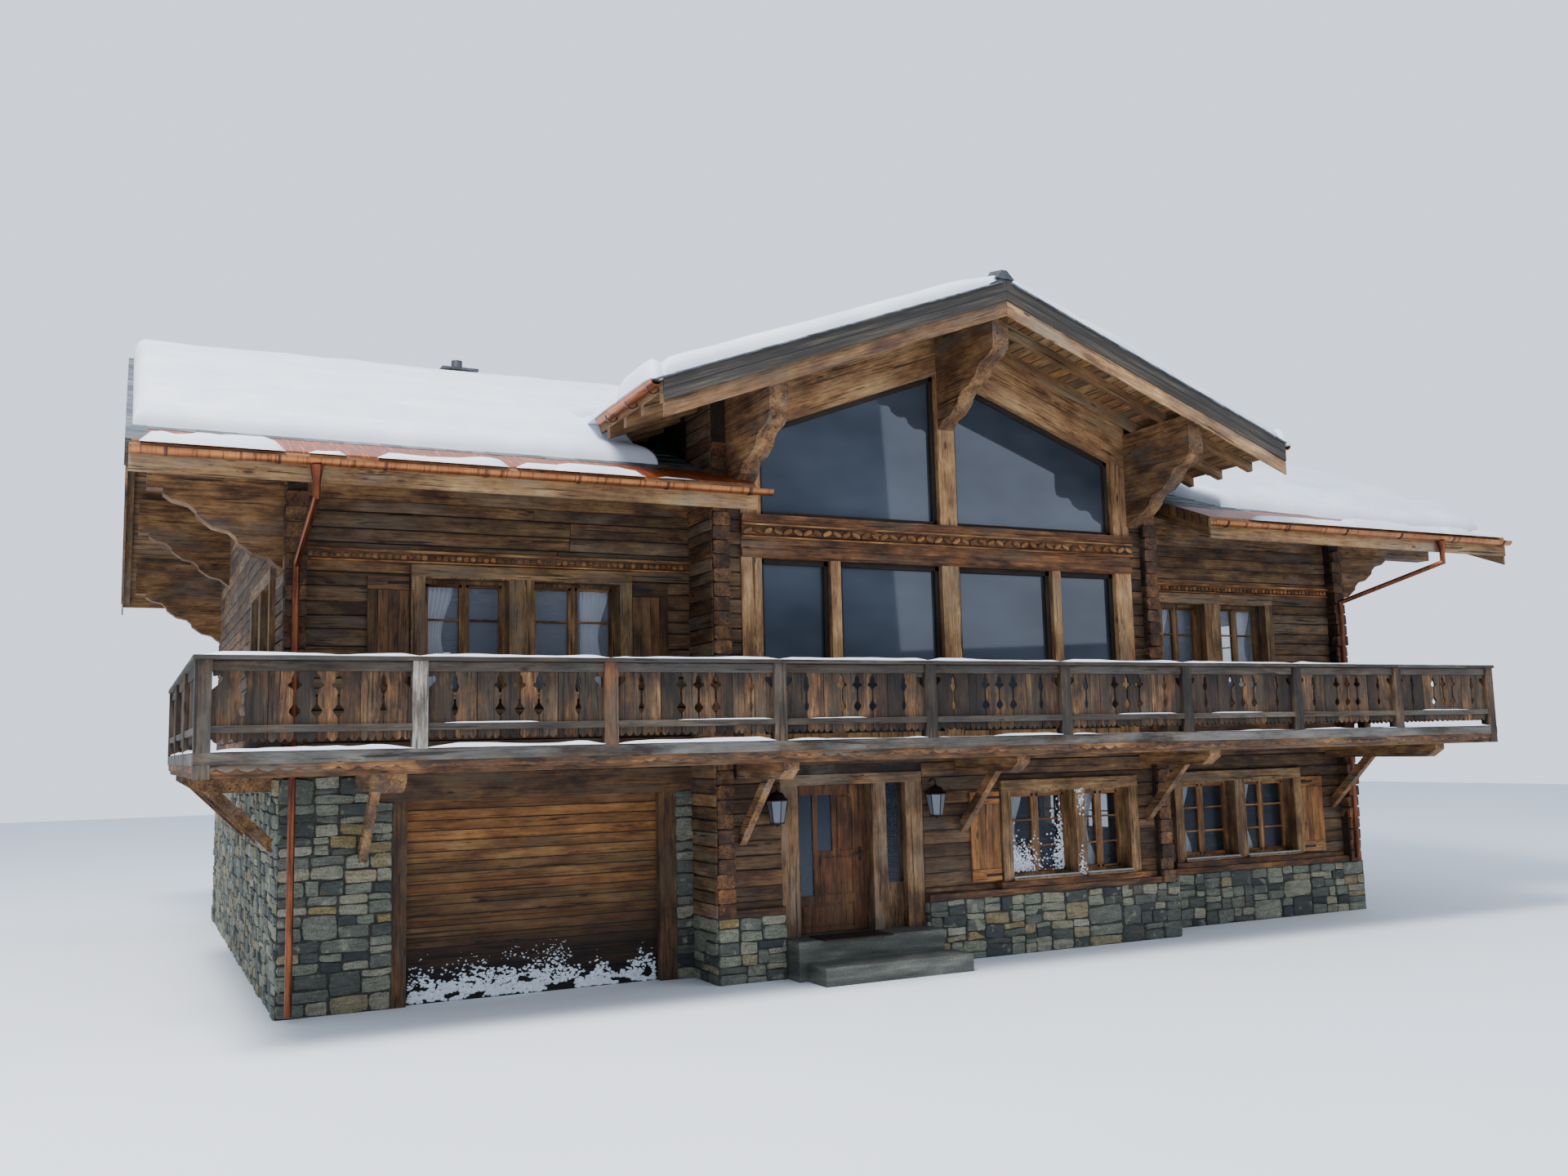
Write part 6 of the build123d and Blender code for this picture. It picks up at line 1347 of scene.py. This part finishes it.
def lay_roof_edges(rng):
    """The copper apron strips, gutter brackets and the ridge's end cap."""
    reach = EAVE - SNOW_BACK + 0.1
    lip = main_top(EAVE)
    outline = [(-EAVE - 0.02, lip - 0.03), (-EAVE - 0.015, lip + 0.010), (-reach, main_top(reach) + 0.010),
               (-reach, main_top(reach) + 0.002), (-EAVE, lip + 0.002), (-EAVE, lip - 0.03)]
    apron = Shape()
    for a, b in ((VERGE_LEFT + 0.02, APRON_LEFT_END), (APRON_RIGHT_START, VERGE_RIGHT - 0.02)):
        seams = [a + (b - a) * k / 6 for k in range(7)]
        for p, q in zip(seams, seams[1:]):
            apron.rings([[(x, y, z) for y, z in outline] for x in (p + 0.001, q - 0.001)], rng.random())
    apron.made("copper_apron", "apron")
    brackets = Shape()
    gutter_y = EAVE + 0.115
    gutter_z = lip - 0.08
    for side, a, b, count in ((-1, -10.3, -3.5, 7), (-1, 4.6, 11.0, 6), (1, -10.3, 11.0, 20)):
        for k in range(count):
            x = a + (b - a) * k / (count - 1)
            brackets.plate(half_ring(BRACKET_INNER),
                           lambda u, v, w: (x + w, side * gutter_y + u, gutter_z + v), BRACKET_WIDE,
                           rng.random())
    gable_x = GABLE_EAVE + 0.075
    gable_z = gable_top(GABLE_EAVE) - 0.08
    for side in (-1, 1):
        for k in range(5):
            y = GABLE_VERGE + 0.15 + k * 0.75
            brackets.plate(half_ring(0.86 * BRACKET_OUTER),
                           lambda u, v, w: (side * gable_x + u, y + w, gable_z + v), BRACKET_WIDE,
                           rng.random())
    brackets.made("gutter_brackets", "clip")
    cap = Shape()
    y = GABLE_VERGE - 0.02
    for half, low, peak, deep in ((0.24, -0.05, 0.06, 0.5), (0.15, 0.04, 0.17, 0.3)):
        low += GABLE_RIDGE
        peak += GABLE_RIDGE
        cap.rings([[(-half, y, low), (half, y, low), (half, y + deep, low), (-half, y + deep, low)],
                   [(-0.04, y + 0.02, peak), (0.04, y + 0.02, peak), (0.04, y + deep, peak + 0.06),
                    (-0.04, y + deep, peak + 0.06)]])
    cap.made("ridge_cap", "lead")


def window_parts(places, x0, x1, low, high, at, turn, bars, rng):
    """Sashes and bars of one window: at gives the point for a place along the wall and a height."""
    z0 = low + FRAME_WIDE
    z1 = high - FRAME_WIDE
    mid = (x0 + x1) / 2
    for p, q in ((x0 + FRAME_WIDE, mid - MULLION_WIDE / 2), (mid + MULLION_WIDE / 2, x1 - FRAME_WIDE)):
        for u in (p + 0.019, q - 0.019):
            places.append(placed(rng, at(u, (z0 + z1) / 2), (z1 - z0, 0.045, 0.038), (0, -math.pi / 2, turn)))
        for z in (z0 + 0.02, z1 - 0.02):
            places.append(placed(rng, at((p + q) / 2, z), (q - p, 0.045, 0.04), (0, 0, turn)))
        for k in range(1, bars + 1):
            places.append(placed(rng, at((p + q) / 2, z0 + (z1 - z0) * k / (bars + 1)), (q - p, 0.036, 0.026),
                                 (0, 0, turn)))


def lay_windows():
    """Sashes with their bars, sill strips and curtains."""
    rng = random.Random(SEED + 5)
    places = []
    strips = []
    number = 0
    for axis, face, out, row, (low, high) in (
            ("x", CENTRE_FRONT, -1, GROUND_CENTRE, GROUND_LEVELS),
            ("x", FRONT, -1, GROUND_WING, GROUND_LEVELS), ("x", FRONT, -1, UPPER_LEFT, UPPER_LEVELS),
            ("x", FRONT, -1, UPPER_RIGHT, UPPER_LEVELS), ("x", BACK, 1, BACK_UPPER, UPPER_LEVELS),
            ("y", LEFT, -1, SIDE_UPPER, UPPER_LEVELS), ("y", RIGHT, 1, SIDE_UPPER, UPPER_LEVELS),
            ("y", RIGHT, 1, SIDE_GROUND, GROUND_LEVELS)):
        across = face - out * (FRAME_SETBACK + FRAME_DEEP / 2 - 0.02)
        turn = QUARTER[axis]
        for index, (a, b) in enumerate(row):
            window_parts(places, a, b, low, high, lambda u, z: spot(axis, u, across, z), turn, 2, rng)
            strips.append(placed(rng, spot(axis, (a + b) / 2, face + out * 0.06, low + 0.028),
                                 (b - a - 0.01, 0.10, 0.018), (0, 0, turn)))
            if axis == "x" and out < 0:
                hang = a + 0.04 if index == 0 or low < 2 else b - 0.46
                inner = face - out * (FRAME_SETBACK + FRAME_DEEP + 0.032)
                curtain("curtain_" + str(number), hang, hang + 0.40, low + 0.08, high - 0.03, inner)
                number += 1
    lay("window_sashes", BOARD, places, "sash")
    lay("sill_strips", BOARD, strips, "strip")


def curtain(name, x0, x1, low, high, y):
    """A gathered curtain behind a window, drawn in at its middle."""
    columns = 48
    rows = 14
    waves = 7
    points = []
    flat = 0.0
    for row in range(rows + 1):
        share = row / rows
        pinch = 1 - 0.38 * math.sin(math.pi * share) ** 2
        line = []
        for column in range(columns + 1):
            across = column / columns
            fold = 0.020 * math.sin(math.tau * waves * across + 0.6 * math.sin(4 * share))
            line.append((x0 + (x1 - x0) * across * pinch, y + fold, high + (low - high) * share))
        flat = max(flat, sum(math.dist(p, q) for p, q in zip(line, line[1:])))
        points += line
    width = columns + 1
    faces = [[r * width + c, r * width + c + 1, (r + 1) * width + c + 1, (r + 1) * width + c]
             for r in range(rows) for c in range(columns)]
    mesh = bpy.data.meshes.new(name)
    mesh.from_pydata(points, [], faces)
    piece = finished(name, mesh, "curtain", sharp=80)


def lay_shutters():
    """Shutters of upright boards between a top and a bottom ledge, with strap hinges."""
    rng = random.Random(SEED + 6)
    lower = []
    upper = []
    irons = []
    beside = 0.168
    wide = 0.5
    ledge = 0.17
    for x0, face, (low, high), hinge, boards in (
            (UPPER_LEFT[-1][1] + beside, FRONT, UPPER_LEVELS, -1, upper),
            (GROUND_CENTRE[0][0] - beside - wide, CENTRE_FRONT, GROUND_LEVELS, 1, lower),
            (GROUND_WING[-1][1] + beside, FRONT, GROUND_LEVELS, -1, lower),
            (UPPER_LEFT[0][0] - beside - wide, FRONT, UPPER_LEVELS, 1, upper)):
        y = face - 0.033
        middle = x0 + wide / 2
        for k in range(4):
            boards.append(placed(rng, (x0 + (k + 0.5) * wide / 4, y, (low + high) / 2),
                                 (high - low - 2 * ledge - 0.012, 0.034, wide / 4 - 0.004), UPRIGHT))
        for z in (low + ledge / 2, high - ledge / 2):
            boards.append(placed(rng, (middle, y, z), (wide - 0.002, 0.036, ledge - 0.004)))
            irons.append(placed(rng, (middle + hinge * (wide / 2 - 0.13), y - 0.021, z),
                                (0.27, 0.008, 0.035)))
            irons.append(placed(rng, (middle + hinge * (wide / 2 + 0.012), y, z), (0.03, 0.05, 0.06)))
    lay("lower_shutters", BOARD, lower, "shutter", 0.003, 3.0, hides=("shutters",))
    lay("upper_shutters", BOARD, upper, "old_shutter", 0.003, 3.0)
    lay("shutter_straps", BOARD, irons, "iron")


# A lantern's foot, hood and candle, as (radius, height) pairs
LANTERN_FOOT = [(0.0, -0.05), (0.018, -0.045), (0.012, -0.02), (0.094, -0.012), (0.098, 0.0), (0.07, 0.004),
                (0.0, 0.006)]
LANTERN_HOOD = [(0.0, -0.004), (0.150, 0.0), (0.152, 0.012), (0.118, 0.036), (0.096, 0.076), (0.078, 0.100),
                (0.026, 0.118), (0.016, 0.134), (0.022, 0.15), (0.0, 0.162)]
LANTERN_CANDLE = [(0.0, 0.0), (0.014, 0.0), (0.014, 0.16), (0.0, 0.165)]


def lay_lanterns():
    """Two wall lanterns: a bell-shaped hood, a tapering cage with clear panes, and a curved arm."""
    low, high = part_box("lanterns")
    metal = Shape()
    panes = Shape()
    half = 0.138
    y = low.y + half
    foot = low.z + 0.05
    head = low.z + 0.33
    top = head + 0.16
    for x in (low.x + half, high.x - half):
        metal.turned(LANTERN_FOOT, (x, y, foot), 12)
        metal.turned(LANTERN_HOOD, (x, y, head), 16)
        for k in range(6):
            rods = []
            for turn in (math.tau * (k + 0.5) / 6, math.tau * (k + 1.5) / 6):
                deep = Vector((math.cos(turn), math.sin(turn), 0))
                rods.append([Vector((x, y, foot)) + deep * 0.088, Vector((x, y, head)) + deep * 0.134])
            turn = math.tau * (k + 0.5) / 6
            deep = Vector((math.cos(turn), math.sin(turn), 0)) * 0.005
            side = Vector((-math.sin(turn), math.cos(turn), 0)) * 0.005
            metal.rings([[tuple(p + side + deep), tuple(p - side + deep), tuple(p - side - deep),
                          tuple(p + side - deep)] for p in rods[0]])
            panes.rings([[tuple(p), tuple(q), tuple(q.lerp(Vector((x, y, q.z)), 0.04)),
                          tuple(p.lerp(Vector((x, y, p.z)), 0.04))] for p, q in zip(*rods)])
        metal.turned(LANTERN_CANDLE, (x, y, foot + 0.01), 8)
        arm = [(y, top - 0.01), (y + 0.005, top + 0.035), (y + 0.05, top + 0.055), (y + 0.12, top + 0.045),
               (high.y - 0.012, top + 0.01)]
        metal.rings([[(x + a, p + b, q + c) for a, b, c in ((-0.008, -0.004, -0.007), (0.008, -0.004, -0.007),
                                                            (0.008, 0.004, 0.007), (-0.008, 0.004, 0.007))]
                     for p, q in arm])
        metal.box((x - 0.035, high.y - 0.012, top - 0.10), (x + 0.035, high.y, top + 0.09))
    metal.made("lantern_metal", "iron", hides=("lanterns",))
    panes.made("lantern_panes", "lantern_glass")


def lay_log_ends(rng):
    """The stacked log ends at the corners of the house and of its centre."""
    ends = []
    eave = main_top(FRONT, ROOF_DEEP) - 0.45
    columns = []
    for x, foot in ((LEFT + WALL_THICK / 2, STONE_TOP), (RIGHT - WALL_THICK / 2, PLINTH_TOP)):
        columns.append((x, FRONT - 0.09, foot, eave, -1, 0.17))
        columns.append((x, BACK + 0.09, PLINTH_TOP, main_top(BACK, ROOF_DEEP) - 0.45, 1, 0.17))
    for x in (WALL_THICK / 2 - CENTRE_HALF, CENTRE_HALF - WALL_THICK / 2):
        columns.append((x, CENTRE_FRONT - 0.06, PLINTH_TOP, gable_top(CENTRE_HALF, ROOF_DEEP) - 0.5, -1,
                        0.12))
    for x, y, low, high, out, reach in columns:
        courses = round((high - low) / LOG_COURSE)
        step = (high - low) / courses
        for course in range(courses):
            proud = rng.uniform(0.0, 0.05)
            ends.append(placed(rng, (x, y + out * proud / 2, low + (course + 0.5) * step),
                               (reach + proud, WALL_THICK + rng.uniform(-0.02, 0.01), step - 0.01),
                               (rng.uniform(-0.04, 0.04), 0, math.pi / 2)))
    # The log ends take the darker copy of the logs: painted shade
    lay("log_ends", BEAM, ends, "dark_logs", 0.03, 3.5)


def lay_carving(rng):
    """The frieze above the wings' windows, and the carved band's leaning motifs between two mouldings."""
    beads = []
    mouldings = []
    z = UPPER_LEVELS[1] + 0.24
    for a, b in ((LEFT + WALL_THICK, -CENTRE_HALF), (CENTRE_HALF, RIGHT - WALL_THICK)):
        mouldings.append(placed(rng, ((a + b) / 2, FRONT - 0.035, z + 0.065), (b - a, 0.06, 0.035)))
        mouldings.append(placed(rng, ((a + b) / 2, FRONT - 0.028, z - 0.06), (b - a, 0.05, 0.02)))
        count = round((b - a) / 0.085)
        for k in range(count):
            x = a + (b - a) * (k + 0.5) / count
            beads.append(placed(rng, (x, FRONT - 0.024, z), (0.075, 0.032, 0.07),
                                (0, rng.uniform(-0.3, 0.3), 0)))
    low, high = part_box("carved_band")
    middle = low.z + 0.62 * (high.z - low.z)
    long = high.x - low.x
    count = round(long / 0.15)
    for k in range(count):
        beads.append(placed(rng, (low.x + long * (k + 0.5) / count, low.y + 0.012, middle),
                            (0.15, 0.06, 0.075), (0, 0.45 if k % 2 else -0.45, 0)))
    for z in (middle - 0.085, middle + 0.085):
        mouldings.append(placed(rng, ((low.x + high.x) / 2, low.y + 0.012, z), (long, 0.035, 0.022)))
    lay("carved_beads", KNOB, beads, "band_bead", 0.01, 6.0, sharp=60)
    lay("frieze_mouldings", BOARD, mouldings, "band_bead")


def lay_sills(rng):
    """Beams on the plinth and under the ground floor's windows, and the landing's ribbed boot scraper."""
    flat = (0, 0, 0)
    z = PLINTH_TOP + 0.05
    beams = [(((ENTRANCE[0] - CENTRE_HALF) / 2, CENTRE_FRONT - 0.055, z), (0.94, 0.13, 0.1), flat, 0.3),
             (((ENTRANCE[1] + CENTRE_HALF) / 2, CENTRE_FRONT - 0.055, z), (4.33, 0.13, 0.1), flat, 0.5),
             (((CENTRE_HALF + RIGHT) / 2, FRONT - 0.055, z), (RIGHT - CENTRE_HALF - 0.02, 0.13, 0.1), flat,
              0.7)]
    for row, face in ((GROUND_CENTRE, CENTRE_FRONT), (GROUND_WING, FRONT)):
        a, b = row[0][0], row[-1][1]
        beams.append(placed(rng, ((a + b) / 2, face - 0.08, GROUND_LEVELS[0] - 0.06),
                            (b - a + 0.5, 0.17, 0.09)))
    # The sill beams take the darker copy of the logs: painted shade
    lay("sill_beams", BEAM, beams, "dark_logs", 0.012, 2.0)
    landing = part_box("entrance_step")[1].z
    ribs = [((ENTRANCE[0] + 0.83, CENTRE_FRONT - 0.12 - 0.05 * k, landing + 0.008), (1.0, 0.03, 0.018), flat,
             0.5) for k in range(10)]
    lay("boot_scraper", BOARD, ribs, "iron")


def lay_pane_frames(rng):
    """Dark frames round the tall panes of the centre and the two sloping panes of its gable."""
    frames = []
    y = CENTRE_FRONT + 0.085
    bar = 0.07
    low, high = UPPER_FLOOR + 0.1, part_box("carved_band")[0].z

    def frame_bar(x, z, long, turn=(0, 0, 0)):
        frames.append(placed(rng, (x, y, z), (long, bar, bar), turn))

    for a, b in zip(PANE_POSTS[::2], PANE_POSTS[1::2]):
        for x in (a + bar / 2, b - bar / 2):
            frame_bar(x, (low + high) / 2, high - low, UPRIGHT)
        for z in (low + bar / 2, high - bar / 2):
            frame_bar((a + b) / 2, z, b - a)
    slope = math.atan(GABLE_PITCH)
    band_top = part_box("carved_band")[1].z
    near, far = PANE_POSTS[4], PANE_POSTS[7]
    top_near = gable_top(near, GABLE_HEAD_DEEP)
    top_far = gable_top(far, GABLE_HEAD_DEEP)
    for side in (-1, 1):
        middle = side * (near + far) / 2
        for x, top in ((near + bar / 2, top_near), (far - bar / 2, top_far)):
            frame_bar(side * x, (band_top + top) / 2, top - band_top, UPRIGHT)
        frame_bar(middle, band_top + bar / 2, far - near)
        frame_bar(middle, (top_near + top_far) / 2 - 0.038, (far - near) / math.cos(slope),
                  (0, side * slope, 0))
    lay("pane_frames", BOARD, frames, "dark_frame")


def stage_and_camera():
    """A pale floor, an even sky, soft light and the camera."""
    floor = bpy.data.meshes.new("studio_floor")
    floor.from_pydata([(-FAR, -FAR, 0), (FAR, -FAR, 0), (FAR, FAR, 0), (-FAR, FAR, 0)], [], [(0, 1, 2, 3)])
    ground = bpy.data.objects.new("studio_floor", floor)
    bpy.context.scene.collection.objects.link(ground)
    r = Recipe("studio_floor", 0.9)
    floor.materials.append(r.colour(r.ramp(r.noise(r.place, 0.2, 2.0), (0.3, "e9edf3"), (0.7, "eff2f6"))))
    world = bpy.data.worlds.new("studio_sky")
    world.use_nodes = True
    sky = world.node_tree
    height = wired(sky, "ShaderNodeSeparateXYZ", {0: wired(sky, "ShaderNodeTexCoord").outputs["Generated"]})
    power = wired(sky, "ShaderNodeMapRange", {"Value": height.outputs["Z"], "To Min": 0.65, "To Max": 1.9})
    even = wired(sky, "ShaderNodeBackground", {"Color": "c4d3e8", "Strength": power.outputs[0]})
    seen = wired(sky, "ShaderNodeBackground", {"Color": "cdd7e6", "Strength": 2.0})
    by_camera = wired(sky, "ShaderNodeLightPath").outputs["Is Camera Ray"]
    choice = wired(sky, "ShaderNodeMixShader", {0: by_camera, 1: even.outputs[0], 2: seen.outputs[0]})
    sky.links.new(choice.outputs[0], sky.nodes["World Output"].inputs["Surface"])
    bpy.context.scene.world = world
    for name, place, aim, power, size in (("key", (-17, -14, 32), (0, -3, 3), 19000, 9),
                                          ("fill", (20, -26, 14), (2, -4, 4), 1500, 16)):
        lamp = bpy.data.lights.new(name, "AREA")
        lamp.energy = power
        lamp.size = size
        light = bpy.data.objects.new(name, lamp)
        light.location = place
        light.rotation_euler = (Vector(aim) - Vector(place)).to_track_quat("-Z", "Y").to_euler()
        bpy.context.scene.collection.objects.link(light)
    lens = bpy.data.cameras.new("camera")
    lens.sensor_fit = "HORIZONTAL"
    lens.sensor_width = 36.0
    lens.lens = 30.94
    lens.clip_end = 300.0
    camera = bpy.data.objects.new("camera", lens)
    across = Vector((0.897, -0.4386, -0.0234)).normalized()
    back = Vector((-0.440, -0.891, -0.1177)).normalized()
    up = back.cross(across).normalized()
    across = up.cross(back)
    stand = (-10.65, -22.48, 2.97)
    camera.matrix_world = Matrix([*zip(across, up, back, stand), (0, 0, 0, 1)])
    bpy.context.scene.collection.objects.link(camera)
    bpy.context.scene.camera = camera


NODE_FINISHES = {
    "bed": ["garage_stone", "side_wall_stone", "plinth_front", "plinth_side", "plinth_back"],
    "logs_x": ["wall_left_of_entrance", "wall_right_of_entrance", "wall_over_entrance", "front_wall_left",
               "front_wall_right", "back_wall"],
    "logs_y": ["gable_wall_left", "gable_wall_right", "centre_piers"],
    "posts": ["centre_posts"],
    "gable_frame": ["gable_frame"],
    "entrance_frame": ["entrance_frame"],
    "garage_frame": ["garage_frame"],
    "band": ["carved_band"],
    "casings": ["front_windows", "back_windows"],
    "side_casings": ["side_windows"],
    "joinery": ["front_door_leaf"],
    "purlin_x": ["purlins"],
    "purlin_y": ["gable_purlins", "balcony_brackets"],
    "main_roof": ["roof_front_left", "roof_front_right", "roof_back"],
    "gable_roof": ["gable_roof_left", "gable_roof_right"],
    "verge": ["verge_boards"],
    "honey": ["eave_boards"],
    "copper": ["gutters"],
    "pipe": ["downpipes"],
    "garage": ["garage_door"],
    "deck": ["balcony_deck"],
    "edge_beam": ["balcony_fascia"],
    "rail": ["balustrade_front", "balustrade_left", "balustrade_right"],
    "shutter": ["shutters"],
    "floor": ["ground_floor", "upper_floor"],
    "room": ["garage_floor"],
    "lead": ["chimney"],
    "slab": ["entrance_step"],
    "glass": ["front_glass", "side_glass", "back_glass"],
    "door_glass": ["front_door_glass"],
    "big_glass": ["centre_glass"],
    "iron": ["door_hinges", "front_door_handle", "lanterns"],
    "snow": ["roof_snow_main", "roof_snow_gable"],
}

stage_and_camera()
for finish_name, node_names in NODE_FINISHES.items():
    for node_name in node_names:
        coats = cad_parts[node_name].data.materials
        coats.clear()
        coats.append(FINISH[finish_name])
lay_walls()
lay_stone()
lay_balcony()
lay_snow()
edge_snow()
lay_blown_snow()
lay_roof_edges(lay_slates())
lay_windows()
lay_shutters()
lay_lanterns()
trim_rng = random.Random(SEED + 7)
for lay_part in (lay_log_ends, lay_carving, lay_sills, lay_pane_frames):
    lay_part(trim_rng)

for unit in (BEAM, SHORT_BEAM, STONE, KNOB, CRUMB, BOARD):
    bpy.data.objects.remove(unit)
